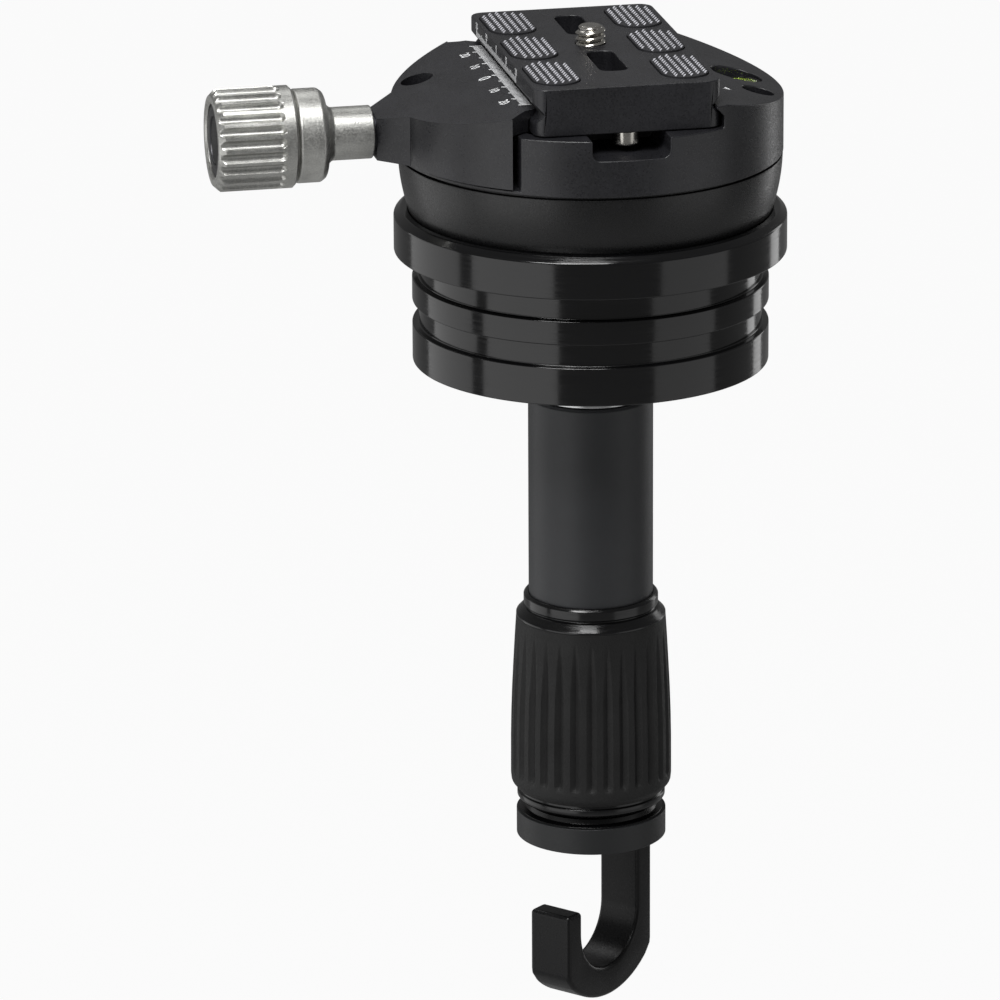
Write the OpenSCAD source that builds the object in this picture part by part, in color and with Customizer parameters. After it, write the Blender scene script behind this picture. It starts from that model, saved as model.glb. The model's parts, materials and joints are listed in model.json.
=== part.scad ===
// Levelling head for a field tripod: a half ball in a flanged bowl, locked by the twist grip of a
// hanging column, under a dovetail quick-release clamp. +Z is up and the knob points along -X.
// The origin is on the bowl's axis, in the plane of its foot.

/* [Half ball and bowl] */
// Radius of the half ball
ball_r = 40.5; // [36:0.5:50]
// Running gap between the ball and its seat
ball_gap = 0.1; // [0.05:0.05:0.2]
// Wall of the bowl under the ball
web_t = 4.8; // [4:0.2:7]
// Drop from the ball's centre to the bowl's mouth
mouth_drop = 13; // [11:0.5:16]
// How far the top flange stands out past the ball
flange_out = 1; // [0.5:0.25:4]
// How far the foot's rim stands inside the ball's radius
spigot_inset = 2.8; // [2:0.1:3.5]
// Depth of the two grooves in the spigot
groove_d = 1.4; // [0.8:0.1:1.8]
// Height of the chamfered lip
lip_h = 1.3; // [0.8:0.1:2]
// Height of the top flange
flange_h = 7.7; // [5:0.1:10]
// Height of the upper groove
upper_groove_h = 5.7; // [4:0.1:7]
// Height of the middle rib
rib_h = 5.2; // [3:0.1:7]
// Height of the lower groove
lower_groove_h = 4.9; // [3:0.1:6]
// Wall of the skirt round the washer's space
skirt_t = 4; // [3:0.25:6]
// Thickness of the friction liner
liner_t = 0.7; // [0.5:0.1:1.2]
// Furthest tilt of the column in the bowl, in degrees
tilt_max = 12.5; // [6:0.5:14]

/* [Column] */
// Radius of the central rod
rod_r = 5; // [4:0.25:6]
// Drop from the foot to the top of the tube
tube_drop = 8.3; // [8:0.1:12]
// Outer radius of the tube
tube_r = 13.3; // [11:0.1:16]
// Wall of the tube
tube_wall = 1.8; // [1.2:0.1:3]
// Length of tube that shows above the grip
tube_show = 43.9; // [30:0.5:90]
// Travel of the tube when the grip is loosened
tube_drop_travel = 0.75; // [0.25:0.25:1]

/* [Grip] */
// Height of the ring at the grip's top
collar_ring_h = 3.2; // [2:0.1:6]
// Height of the sloping shoulder under the ring
shoulder_h = 2; // [1:0.1:4]
// Length of the rubber sleeve
sleeve_len = 38.6; // [30:0.2:60]
// Swell of the rubber past its upper edge
sleeve_swell = 1.25; // [0:0.05:2]
// Height of the ring under the rubber
end_ring_h = 2.6; // [2:0.1:5]
// Radius over the rubber's upper edge, past the tube
sleeve_out = 2.7; // [2.2:0.1:5]
// Length of thread in the grip's core
nut_len = 15; // [10:0.5:20]

/* [Cap and hook] */
// Gap between the grip and the cap's neck
neck_gap = 0.9; // [0.8:0.1:2]
// Height of the cap's neck
neck_h = 1.7; // [1:0.1:3]
// Height of the end cap
cap_h = 5.6; // [5:0.1:9]
// Radius of the end cap, past the tube
cap_out = 2.75; // [2.5:0.05:5]
// Width of the hook's strip
hook_w = 10.4; // [8:0.1:12]
// Thickness of the hook's strip
hook_t = 5; // [3:0.1:6]
// Thickness of the hook under its load
hook_base_t = 6.7; // [5:0.1:9]
// Radius of the hook's underside
hook_arc = 20.2; // [18:0.1:30]
// Depth from the cap to the centre of the hook's bend
hook_drop = 19.8; // [15:0.2:40]
// How far the tip rises above the centre of the bend
tip_rise = 5.1; // [2:0.1:12]
// Direction that the hook's tip points in, in degrees from +X
hook_turn = -138; // [-180:1:180]
// Radius of the shoulder screw that the cap turns on
pivot_r = 4; // [3:0.25:5]

/* [Clamp] */
// Height of the clamp's disc, from the ball to the channel floor
disc_h = 12.1; // [11:0.1:16]
// Thickness of the ledge under the moving jaw
ledge_h = 0.9; // [0.6:0.1:2]
// Height of the jaws' lips above the channel floor
lip_rise = 4.8; // [4:0.1:6]
// Slope of the jaws' tops, in degrees
jaw_slope = 14.5; // [8:0.5:18]
// Width of the split between the disc and the moving jaw
jaw_split = 1.6; // [1:0.1:3]
// Travel of the moving jaw
jaw_travel = 4.5; // [3:0.25:5]
// Length of the boss that carries the knob
boss_len = 5; // [3:0.25:8]
// Width of the notches for the plate's stop screws
notch_w = 16.4; // [10:0.2:20]
// Depth of the notches
notch_d = 4.4; // [3:0.2:6]
// Distance from the axis to the notches' inner walls
notch_reach = 23.5; // [20:0.5:27]
// Radius of the level vial's pocket
vial_r = 5.5; // [4:0.25:6]

/* [Knob] */
// Height of the knob's axis above the ball's flat
knob_up = 6.3; // [6:0.1:8]
// Radius of the clamp screw
screw_r = 3; // [2.5:0.25:4]
// Radius of the knob's neck
neck_r = 5.6; // [4.5:0.1:7]
// Length of the knob's neck
neck_len = 10.2; // [6:0.2:16]
// Radius of the smooth ring
ring_r = 10; // [8:0.1:14]
// Length of the smooth ring
ring_len = 6.5; // [4:0.1:10]
// Radius of the fluted barrel
barrel_r = 10.75; // [9:0.05:15]
// Length of the fluted barrel
barrel_len = 16.8; // [12:0.2:26]

/* [Quick-release plate] */
// Width of the plate
plate_w = 39.5; // [38:0.5:50]
// Length of the plate
plate_l = 67.7; // [50:0.1:90]
// Thickness of the plate
plate_t = 10; // [9:0.1:14]
// Depth of the V grooves along its sides
v_depth = 2.1; // [1.5:0.1:3]
// Sideways place of the plate's middle
plate_x = 0.5; // [-1:0.1:1]
// Place of the plate's middle along the channel
plate_y = -1.2; // [-3:0.1:3]
// Corner radius of the plate
plate_corner_r = 3; // [1:0.5:6]
// Width of the two slots
slot_w = 5.9; // [4:0.1:7]
// Width of a rubber pad
pad_w = 9.8; // [8:0.1:11]
// Distance between the rows of pads
pad_pitch = 21.8; // [21:0.1:26]
// Height that the pads stand proud
pad_proud = 0.4; // [0.2:0.1:1]
// Radius of the camera screw, a quarter-inch thread
cam_screw_r = 3.175; // [3.175:0.001:4.7625]
// Height that the camera screw stands above the plate
cam_screw_up = 3.8; // [3:0.1:6]

/* [Hidden] */
$fn = 96;

over = 1;          // how far a cut runs past the face it opens
fit = 0.05;        // running clearance on a radius
face_gap = 0.2;    // gap between faces that slide past each other
slide_gap = 0.3;   // gap where a jaw rides over the disc

// Bowl
seat_r = ball_r + ball_gap;
web_r = seat_r + web_t;
ball_z = web_r + 0.6;
bowl_h = ball_z - mouth_drop;
flange_r = ball_r + flange_out;
spigot_r = ball_r - spigot_inset;
groove_r = spigot_r - groove_d;
lip_z = bowl_h - lip_h;
flange_z = lip_z - flange_h;
rib_top = flange_z - upper_groove_h;
rib_z = rib_top - rib_h;
foot_top = rib_z - lower_groove_h;
skirt_r = spigot_r - skirt_t;
hole_angle = asin(rod_r / web_r) + tilt_max + 0.5;
hole_r = web_r * sin(hole_angle);
liner_z = ball_z - sqrt(pow(seat_r, 2) - pow(hole_r + 3, 2)) + 0.4;
liner_top = rib_top + 1.5;
seat_lip = 0.8;    // extra seat radius clear of the liner

// Pressure washer
pad_t = 0.5;
washer_top_r = web_r + ball_gap + pad_t;
washer_angle = hole_angle + tilt_max + 0.6;
washer_r = washer_top_r * sin(washer_angle);
washer_edge_z = ball_z - washer_top_r * cos(washer_angle);
washer_hub_r = tube_r - 0.6;
washer_z = -tube_drop + face_gap;
washer_hub_z = washer_z + 1.6;

// Half ball
flat_z = ball_z - 0.5;
ball_foot_z = ball_z - ball_r + 1.5;
ball_wall = 6;
rim_wall = 11.5;
boss_r = 11;
boss_top = ball_foot_z + 19;
rod_top = boss_top + 4;
rod_nut_r = 8.5;
rod_nut_h = 3.8;

// Disc and jaws
disc_r = ball_r + 0.1;
floor_z = flat_z + disc_h;
plate_z = floor_z + face_gap;
plate_top = plate_z + plate_t;
half_w = plate_w / 2;
v_z = plate_z + 4.6;
tip_gap = 0.65;
jaw_face = half_w + 0.35;
lip_top = floor_z + lip_rise;
split_x = -(half_w + 2.4);
jaw_x = split_x - jaw_split;
jaw_bottom = flat_z + ledge_h + slide_gap;
jaw_shift = -1.3;
slope_start = half_w + 1.2;
knob_z = flat_z + knob_up;
boss_x = -disc_r + jaw_shift - boss_len + 0.4;
boss_end_w = 9;
boss_root_w = 19.2;
pin_r = 2;
pin_y = 14;
pin_in = 9;
pin_jaw_depth = 11;
spring_r = 3.1;
spring_depth = 6;
jaw_hole_x = -33;
jaw_hole_r = 3.4;
jaw_hole_depth = 4.6;
insert_r = 5;
insert_len = 11;

// Fasteners
bolt_r = 4;
bolt_head_r = 6.5;
bolt_head_h = 4.5;
body_screw_r = 2;
body_screw_head_r = 3.3;
body_screw_head_h = 4;
body_screw_ring = ball_r - 7.5;
rear_screw_x = split_x + body_screw_head_r + 2.35;
rear_screw_y = sqrt(pow(body_screw_ring, 2) - pow(rear_screw_x, 2));
body_screw_at = [
    [body_screw_ring, -13, 6.6],
    [rear_screw_x, rear_screw_y, 0],
    [rear_screw_x, -rear_screw_y, 0]
];
dowel_r = 1.5;
dowel_at = 20;

// Vial
vial_x = 31.4;
vial_floor = floor_z - 3;
vial_case_t = 0.7;
vial_case_top = floor_z + 0.3;
vial_glass_r = vial_r - 0.1 - vial_case_t;
vial_wall = 0.6;

// Column
rod_end = -(tube_drop + tube_show + collar_ring_h + shoulder_h + sleeve_len + end_ring_h
          + neck_gap + neck_h);
tube_ir = tube_r - tube_wall;
grip_top = -tube_drop - tube_show;
tube_in_grip = 14;
tube_end = grip_top - tube_in_grip;
thrust_t = 1;
collar_r = tube_r + 1.1;
shoulder_z = grip_top - collar_ring_h;
sleeve_top = shoulder_z - shoulder_h;
sleeve_end = sleeve_top - sleeve_len;
sleeve_r = tube_r + sleeve_out;
core_r = tube_r + 1.6;
end_ring_z = sleeve_end - end_ring_h;
end_ring_r = sleeve_r - 0.1;
nut_top = tube_end - thrust_t;
neck_top = end_ring_z - neck_gap;
cap_top = neck_top - neck_h;
cap_bottom = cap_top - cap_h;
cap_r = tube_r + cap_out;
cap_neck_r = cap_r - 0.7;
cap_floor_t = 2.5;
tab_z = cap_bottom + cap_floor_t;
tab_t = 2.4;
hook_r = cap_r - 0.65;
root_r = cap_r - 1.05;
pocket_r = cap_r - 3.05;
bend_z = cap_bottom - hook_drop;
throat_r = hook_r - hook_t;
arc_z = bend_z - throat_r - hook_base_t + hook_arc;
pivot_head_r = pivot_r + 2.5;
pivot_head_h = 1.8;

// Knob
neck_x = boss_x - 0.5;
ring_x = neck_x - neck_len;
ring_end = ring_x - ring_len;
barrel_x = ring_end - 0.2;
barrel_end = barrel_x - barrel_len;
sleeve_bore = 6.6;
plug_r = 7.6;
plug_t = 1.6;
screw_in = -8;

// Plate
pad_len = 19.2;
pad_sink = 0.8;
pad_x = half_w - 1.3 - pad_w / 2;
pad_y = plate_y + 1;
slot_front = [-22.1, -5.2];
slot_rear = [9.4, 26];
cam_y = 2;
head_r = 6.5;
cam_neck_r = cam_screw_r - 0.7;
head_h = 2.8;
head_z = plate_z + 0.5;
retainer_r = 4.8;
retainer_t = 0.8;
retainer_z = head_z + head_h + 0.1;
stop_r = 3;
stop_in = 3.35;
stop_depth = 3;

module ring(outer, inner, height) {
    difference() {
        cylinder(r = outer, h = height);
        translate([0, 0, -over]) cylinder(r = inner, h = height + 2 * over);
    }
}

module along_x(x, y, z) {
    translate([x, y, z]) rotate([0, 90, 0]) children();
}

module at_ball() {
    translate([0, 0, ball_z]) children();
}

module shell_band(outer, inner, low, high) {
    intersection() {
        difference() {
            at_ball() sphere(r = outer);
            at_ball() sphere(r = inner);
        }
        translate([0, 0, low]) cylinder(r = 2 * outer, h = high - low);
    }
}

module levelling_bowl() {
    color("#141415") difference() {
        rotate_extrude() polygon([
            [0, 0], [spigot_r, 0], [spigot_r, foot_top],
            [groove_r, foot_top], [groove_r, rib_z], [spigot_r - 0.4, rib_z], [spigot_r, rib_z + 0.4],
            [spigot_r, rib_top - 0.4], [spigot_r - 0.4, rib_top], [groove_r, rib_top],
            [groove_r, flange_z], [flange_r - 0.6, flange_z], [flange_r, flange_z + 0.6],
            [flange_r, lip_z], [flange_r - 1.7, bowl_h], [0, bowl_h]
        ]);
        at_ball() sphere(r = seat_r);
        shell_band(seat_r + seat_lip, seat_r - 1, liner_z, liner_top);
        difference() {
            translate([0, 0, -over]) cylinder(r = skirt_r, h = ball_z);
            at_ball() sphere(r = web_r);
        }
        translate([0, 0, -over]) cylinder(r = hole_r, h = ball_z);
    }
}

module bowl_liner() {
    color("#d9d6cb") shell_band(seat_r + liner_t, seat_r, liner_z + 0.05, liner_top - 0.05);
}

module washer_pad() {
    color("#d9d6cb") difference() {
        shell_band(washer_top_r - 0.05, web_r + ball_gap, -over, washer_edge_z);
        translate([0, 0, -2 * over]) cylinder(r = rod_r + 0.8, h = ball_z);
    }
}

module pressure_washer() {
    color("#b9bcc0") difference() {
        rotate_extrude() polygon([
            [0, washer_z], [washer_hub_r, washer_z], [washer_hub_r, washer_hub_z],
            [washer_r, washer_edge_z - 2.4], [washer_r, washer_edge_z], [0, washer_edge_z]
        ]);
        at_ball() sphere(r = washer_top_r);
        translate([0, 0, washer_z - over]) cylinder(r = rod_r + fit, h = ball_z);
    }
}

module half_ball() {
    color("#1b1b1d") difference() {
        intersection() {
            at_ball() sphere(r = ball_r);
            translate([0, 0, ball_foot_z]) cylinder(r = 2 * ball_r, h = flat_z - ball_foot_z);
        }
        difference() {
            intersection() {
                at_ball() sphere(r = ball_r - ball_wall);
                translate([0, 0, ball_foot_z + ball_wall]) cylinder(r = ball_r - rim_wall, h = ball_r);
            }
            cylinder(r = boss_r, h = boss_top);
        }
        cylinder(r = rod_r, h = ball_z);
        for (at = body_screw_at)
            translate([at[0], at[1], flat_z - 8]) cylinder(r = body_screw_r, h = 8 + over);
        for (side = [-1, 1])
            translate([0, side * (ball_r - rim_wall + 5), flat_z - 4])
                cylinder(r = dowel_r, h = 4 + over);
    }
}

module core_rod() {
    color("#8d9094") difference() {
        translate([0, 0, rod_end]) cylinder(r = rod_r, h = rod_top - rod_end);
        translate([0, 0, rod_end - over]) cylinder(r = pivot_r - 1.5, h = 10 + over);
        translate([0, 0, rod_top - 10]) cylinder(r = bolt_r - 1, h = 10 + over);
    }
}

module rod_nut() {
    color("#a9acb0") translate([0, 0, boss_top]) difference() {
        cylinder(r = rod_nut_r, h = rod_nut_h, $fn = 6);
        translate([0, 0, -over]) cylinder(r = rod_r, h = rod_nut_h + 2 * over);
    }
}

module centre_bolt() {
    bolt_top = floor_z - 1.2;
    color("#a9acb0") difference() {
        union() {
            translate([0, 0, bolt_top - bolt_head_h]) cylinder(r = bolt_head_r, h = bolt_head_h);
            translate([0, 0, rod_top - 9]) cylinder(r = bolt_r - 1, h = bolt_top - rod_top + 7);
        }
        translate([0, 0, bolt_top - 3]) cylinder(r = 3, h = 3 + over, $fn = 6);
    }
}

module body_screws() {
    color("#3a3b3d") for (at = body_screw_at) {
        head_top = floor_z - 3 - 0.4;
        translate([at[0], at[1], 0]) difference() {
            union() {
                translate([0, 0, head_top - body_screw_head_h])
                    cylinder(r = body_screw_head_r, h = body_screw_head_h);
                translate([0, 0, flat_z - 7]) cylinder(r = body_screw_r, h = head_top - flat_z + 6);
            }
            translate([0, 0, head_top - 2]) cylinder(r = 1.7, h = 2 + over, $fn = 6);
        }
    }
}

module locating_pins() {
    color("#a9acb0") for (side = [-1, 1])
        translate([0, side * (ball_r - rim_wall + 5), flat_z - 4]) cylinder(r = dowel_r, h = 7);
}

module notch(side) {
    translate([-notch_w / 2, side > 0 ? notch_reach : -disc_r - over, floor_z - notch_d])
        cube([notch_w, disc_r + over - notch_reach, notch_d + over]);
}

// Everything that is not the jaw on the +X side, from low_z up; the jaw's foot starts at foot_x
module jaw_cut(foot_x, low_z, under_z) {
    tip_z = v_z - face_gap - tip_gap / 3;
    tip_x = jaw_face - (tip_z - floor_z - 2.6);
    far = 3 * disc_r;
    translate([0, 2 * disc_r, 0]) rotate([90, 0, 0]) linear_extrude(height = 4 * disc_r) polygon([
        [-far, low_z], [foot_x, low_z], [foot_x, under_z], [jaw_face, under_z],
        [jaw_face, floor_z + 2.6], [tip_x, tip_z], [tip_x, lip_top],
        [slope_start, lip_top], [far, lip_top - (far - slope_start) * tan(jaw_slope)],
        [far, lip_top + 2 * disc_h], [-far, lip_top + 2 * disc_h]
    ]);
}

module clamp_body() {
    color("#1d1d1f") difference() {
        translate([0, 0, flat_z]) cylinder(r = disc_r, h = disc_h + lip_rise);
        translate([plate_x, 0, 0]) jaw_cut(jaw_face, floor_z, floor_z + 1);
        translate([-2 * disc_r, -2 * disc_r, flat_z + ledge_h])
            cube([2 * disc_r + split_x, 4 * disc_r, 3 * disc_h]);
        for (side = [-1, 1]) {
            notch(side);
            along_x(split_x - over, side * pin_y, knob_z) cylinder(r = pin_r + fit, h = pin_in + over);
            along_x(split_x - over, side * pin_y, knob_z)
                cylinder(r = spring_r + 0.2, h = spring_depth + over);
            translate([0, side * (ball_r - rim_wall + 5), flat_z - over])
                cylinder(r = dowel_r, h = 3 + over);
        }
        along_x(split_x - over, 0, knob_z) cylinder(r = insert_r, h = insert_len + over);
        along_x(split_x - over, 0, knob_z)
            cylinder(r = screw_r + 0.3, h = screw_in - split_x + 2 + over);
        translate([0, 0, floor_z - 1.2 - bolt_head_h])
            cylinder(r = bolt_head_r + 0.2, h = bolt_head_h + 2 * over);
        translate([0, 0, flat_z - over]) cylinder(r = bolt_r - 1 + fit, h = disc_h);
        for (at = body_screw_at) translate([at[0], at[1], 0]) {
            translate([0, 0, floor_z - 3.4 - body_screw_head_h])
                cylinder(r = body_screw_head_r + 0.1, h = 3 * disc_h);
            translate([0, 0, flat_z - over]) cylinder(r = body_screw_r + fit, h = disc_h);
        }
        translate([vial_x, 0, vial_floor]) cylinder(r = vial_r, h = 2 * disc_h);
    }
}

module thread_insert() {
    color("#b08d4a") along_x(split_x, 0, knob_z) ring(insert_r, screw_r + fit, insert_len);
}

module vial_case() {
    color("#101011") translate([vial_x, 0, vial_floor]) difference() {
        cylinder(r = vial_r - 0.1, h = vial_case_top - vial_floor);
        translate([0, 0, 0.5]) cylinder(r = vial_glass_r, h = disc_h);
    }
}

module vial_glass() {
    glass_z = vial_floor + 0.5;
    glass_h = vial_case_top - glass_z;
    color("#dfe6d0", 0.4) translate([vial_x, 0, glass_z]) difference() {
        cylinder(r = vial_glass_r, h = glass_h);
        translate([0, 0, vial_wall]) cylinder(r = vial_glass_r - vial_wall, h = glass_h - 2 * vial_wall);
    }
}

module vial_fluid() {
    fluid_z = vial_floor + 0.5 + vial_wall;
    fluid_h = vial_case_top - vial_wall - fluid_z;
    color("#b7d63a", 0.6) translate([vial_x, 0, fluid_z]) difference() {
        cylinder(r = vial_glass_r - vial_wall, h = fluid_h);
        translate([0, 0, fluid_h - 0.8]) cylinder(r = 1.6, h = 0.8 + over);
    }
}

module vial_bubble() {
    color("#f4f8e6", 0.5) translate([vial_x, 0, vial_case_top - vial_wall - 0.8])
        cylinder(r = 1.6, h = 0.8);
}

module pivot_screw() {
    color("#a9acb0") difference() {
        union() {
            translate([0, 0, cap_bottom + 0.2]) cylinder(r = pivot_head_r, h = pivot_head_h - 0.2);
            translate([0, 0, cap_bottom + 0.2]) cylinder(r = pivot_r, h = rod_end - cap_bottom - 0.2);
            translate([0, 0, rod_end - over]) cylinder(r = pivot_r - 1.5, h = 9 + over);
        }
        translate([0, 0, cap_bottom - over]) cylinder(r = 2, h = over + 1.4, $fn = 6);
    }
}

module pivot_washer() {
    color("#c9cbce") translate([0, 0, tab_z + tab_t + 0.05])
        ring(pivot_r + 3, pivot_r, rod_end - tab_z - tab_t - 0.1);
}

module column_tube() {
    color("#252628") translate([0, 0, tube_end]) difference() {
        ring(tube_r, tube_ir, -tube_drop - tube_end);
        translate([0, 0, -tube_drop - tube_end - 0.5])
            difference() {
                cylinder(r = tube_r + over, h = 0.5 + over);
                cylinder(r1 = tube_r, r2 = tube_r - 0.5, h = 0.5);
            }
    }
}

module tube_bush() {
    color("#e3e0d6") translate([0, 0, -tube_drop - 12]) ring(tube_ir, rod_r + fit, 11.5);
}

module thrust_washer() {
    color("#c8a86a") translate([0, 0, tube_end - thrust_t]) ring(tube_r - 0.4, rod_r + 1, thrust_t);
}

module grip_core() {
    color("#6d7074") difference() {
        translate([0, 0, sleeve_end]) cylinder(r = core_r, h = sleeve_top - sleeve_end);
        translate([0, 0, nut_top]) cylinder(r = tube_r + fit, h = sleeve_top - nut_top + over);
        translate([0, 0, sleeve_end - over]) cylinder(r = rod_r + fit, h = sleeve_len);
        translate([0, 0, sleeve_end - over])
            cylinder(r = core_r - 3, h = nut_top - nut_len - sleeve_end + over);
    }
}

module grip_collar() {
    color("#0f0f10") difference() {
        rotate_extrude() polygon([
            [0, sleeve_top], [sleeve_r, sleeve_top], [sleeve_r, sleeve_top + 0.4],
            [collar_r, shoulder_z], [collar_r, grip_top - 0.4], [collar_r - 0.4, grip_top], [0, grip_top]
        ]);
        translate([0, 0, sleeve_top - over])
            cylinder(r = tube_r + fit, h = collar_ring_h + shoulder_h + 2 * over);
    }
}

module grip_sleeve() {
    swell_z = sleeve_top - 0.72 * sleeve_len;
    color("#1a1a1a") difference() {
        rotate_extrude() polygon([
            [core_r, sleeve_end], [sleeve_r, sleeve_end], [sleeve_r + sleeve_swell, sleeve_end + 1.5],
            [sleeve_r + sleeve_swell, swell_z],
            [sleeve_r + 0.75 * sleeve_swell, sleeve_top - 0.43 * sleeve_len],
            [sleeve_r, sleeve_top], [core_r, sleeve_top]
        ]);
    }
}

module grip_end_ring() {
    color("#0f0f10") difference() {
        rotate_extrude() polygon([
            [0, end_ring_z], [end_ring_r - 0.6, end_ring_z], [end_ring_r, end_ring_z + 0.6],
            [end_ring_r, sleeve_end], [0, sleeve_end]
        ]);
        translate([0, 0, end_ring_z - over]) cylinder(r = rod_r + 1, h = end_ring_h + 2 * over);
    }
}

// The hook is drawn with its tip on +X and is turned to its place
module turned() {
    rotate([0, 0, hook_turn]) children();
}

// The hook's root and its seat in the cap, with a space round them
module hook_root(space) {
    turned() intersection() {
        union() {
            translate([-hook_r - space, -hook_w / 2 - space, cap_bottom - 1])
                cube([hook_t + 2 * space, hook_w + 2 * space, cap_floor_t + 2]);
            translate([-hook_r - space, -hook_w / 2 - space, tab_z])
                cube([hook_r + 6.8 + 2 * space, hook_w + 2 * space, space > 0 ? cap_h : tab_t]);
        }
        translate([0, 0, cap_bottom - 2]) cylinder(r = root_r + space, h = 2 * cap_h);
    }
}

module end_cap() {
    color("#0f0f10") difference() {
        translate([0, 0, cap_bottom]) cylinder(r = cap_r, h = cap_h);
        translate([0, 0, tab_z]) cylinder(r = pocket_r, h = cap_h);
        translate([0, 0, cap_bottom - over]) cylinder(r = pivot_r + fit, h = cap_h + 2 * over);
        translate([0, 0, cap_bottom - over])
            cylinder(r = pivot_head_r + 0.1, h = pivot_head_h + over + fit);
        hook_root(0.05);
    }
}

module cap_neck() {
    color("#0f0f10") translate([0, 0, cap_top]) ring(cap_neck_r, rod_r + fit, neck_h);
}

module ballast_hook() {
    color("#151516") difference() {
        union() {
            hook_root(0);
            turned() translate([-hook_r, -hook_w / 2, bend_z - 1])
                cube([hook_t, hook_w, hook_drop + 0.95]);
            turned() translate([throat_r, -hook_w / 2, bend_z - 1])
                cube([hook_t, hook_w, tip_rise + 1]);
            turned() intersection() {
                translate([0, hook_w / 2, arc_z]) rotate([90, 0, 0]) cylinder(r = hook_arc, h = hook_w);
                translate([-hook_r, -hook_w, bend_z - 2 * hook_r])
                    cube([2 * hook_r, 2 * hook_w, 2 * hook_r]);
            }
        }
        turned() translate([0, hook_w / 2 + over, bend_z]) rotate([90, 0, 0])
            cylinder(r = throat_r, h = hook_w + 2 * over);
        translate([0, 0, tab_z - over]) cylinder(r = pivot_r + fit, h = tab_t + 2 * over);
    }
}

// What is cut from each end of the moving jaw's lip, seen from above
module lip_ends() {
    for (side = [0, 1]) mirror([0, side, 0])
        translate([0, 0, jaw_bottom - over]) linear_extrude(height = 2 * disc_h + 10) polygon([
            [jaw_x, disc_r - 7.6], [jaw_x + 2.2, disc_r - 9.6], [jaw_x + 6.8, disc_r - 12.6],
            [0, disc_r - 12.6], [0, 2 * disc_r], [jaw_x, 2 * disc_r]
        ]);
}

module moving_jaw() {
    color("#1d1d1f") difference() {
        union() {
            translate([jaw_shift, 0, jaw_bottom]) cylinder(r = disc_r, h = lip_top - jaw_bottom);
            translate([0, 0, jaw_bottom]) linear_extrude(height = lip_top - jaw_bottom) polygon([
                [boss_x, -boss_end_w / 2], [boss_x, boss_end_w / 2], [-disc_r, boss_root_w / 2 + 0.8],
                [jaw_x - 4, boss_root_w / 2 + 1], [jaw_x - 4, -boss_root_w / 2 - 1],
                [-disc_r, -boss_root_w / 2 - 0.8]
            ]);
        }
        translate([plate_x, 0, 0]) mirror([1, 0, 0])
            jaw_cut(plate_x - jaw_x, jaw_bottom - over, floor_z + slide_gap);
        lip_ends();
        along_x(boss_x - over, 0, knob_z) cylinder(r = screw_r + fit, h = disc_r);
        for (side = [-1, 1])
            along_x(jaw_x - pin_jaw_depth, side * pin_y, knob_z)
                cylinder(r = pin_r, h = pin_jaw_depth + over);
        translate([jaw_hole_x + jaw_shift, pin_y, 0]) {
            translate([0, 0, floor_z - jaw_hole_depth + 2]) cylinder(r = jaw_hole_r, h = 2 * disc_h);
            translate([0, 0, knob_z]) cylinder(r = pin_r, h = 2 * disc_h);
        }
    }
}

module guide_pins() {
    color("#a9acb0") for (side = [-1, 1])
        along_x(jaw_x - pin_jaw_depth, side * pin_y, knob_z)
            cylinder(r = pin_r, h = pin_jaw_depth + pin_in + jaw_split - 0.5);
}

module jaw_set_screw() {
    color("#3a3b3d") translate([jaw_hole_x + jaw_shift, pin_y, knob_z + pin_r]) difference() {
        cylinder(r = pin_r, h = 2);
        translate([0, 0, 1]) cylinder(r = 1, h = 1 + over, $fn = 6);
    }
}

module jaw_springs() {
    color("#a9acb0") for (side = [-1, 1])
        along_x(jaw_x + 0.1, side * pin_y, knob_z)
            ring(spring_r, pin_r + 0.3, spring_depth + jaw_split - 0.2);
}

module clamp_screw() {
    color("#a9acb0") along_x(barrel_end + 3, 0, knob_z)
        cylinder(r = screw_r, h = screw_in - barrel_end - 3);
}

module knob_hub() {
    color("#b4b6b9") difference() {
        along_x(0, 0, knob_z) rotate_extrude() polygon([
            [0, barrel_end + 2.2], [sleeve_bore, barrel_end + 2.2], [sleeve_bore, ring_end - 0.2],
            [ring_r - 0.8, ring_end - 0.2], [ring_r, ring_end + 0.6], [ring_r, ring_x - 1],
            [ring_r - 1, ring_x], [neck_r + 0.6, ring_x], [neck_r, ring_x + 0.6],
            [neck_r, neck_x], [0, neck_x]
        ]);
        along_x(barrel_end + 3, 0, knob_z) cylinder(r = screw_r, h = 2 * disc_r);
    }
}

module knob_sleeve() {
    color("#b4b6b9") difference() {
        along_x(0, 0, knob_z) rotate_extrude() polygon([
            [0, barrel_end], [barrel_r - 1.2, barrel_end], [barrel_r, barrel_end + 1.2],
            [barrel_r, barrel_x - 0.6], [barrel_r - 0.6, barrel_x], [0, barrel_x]
        ]);
        along_x(barrel_end - over, 0, knob_z) cylinder(r = sleeve_bore, h = barrel_len + 2 * over);
        along_x(barrel_end - over, 0, knob_z) cylinder(r = plug_r + 0.1, h = 2.2 + over);
    }
}

module knob_plug() {
    color("#1c1c1d") along_x(barrel_end + 0.5, 0, knob_z) difference() {
        cylinder(r = plug_r, h = plug_t);
        translate([0, 0, -over]) cylinder(r = 2.5, h = 1 + over, $fn = 6);
    }
}

module knob_washer() {
    color("#c8a86a") along_x(neck_x + 0.05, 0, knob_z) ring(neck_r - 0.8, screw_r, 0.4);
}

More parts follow.
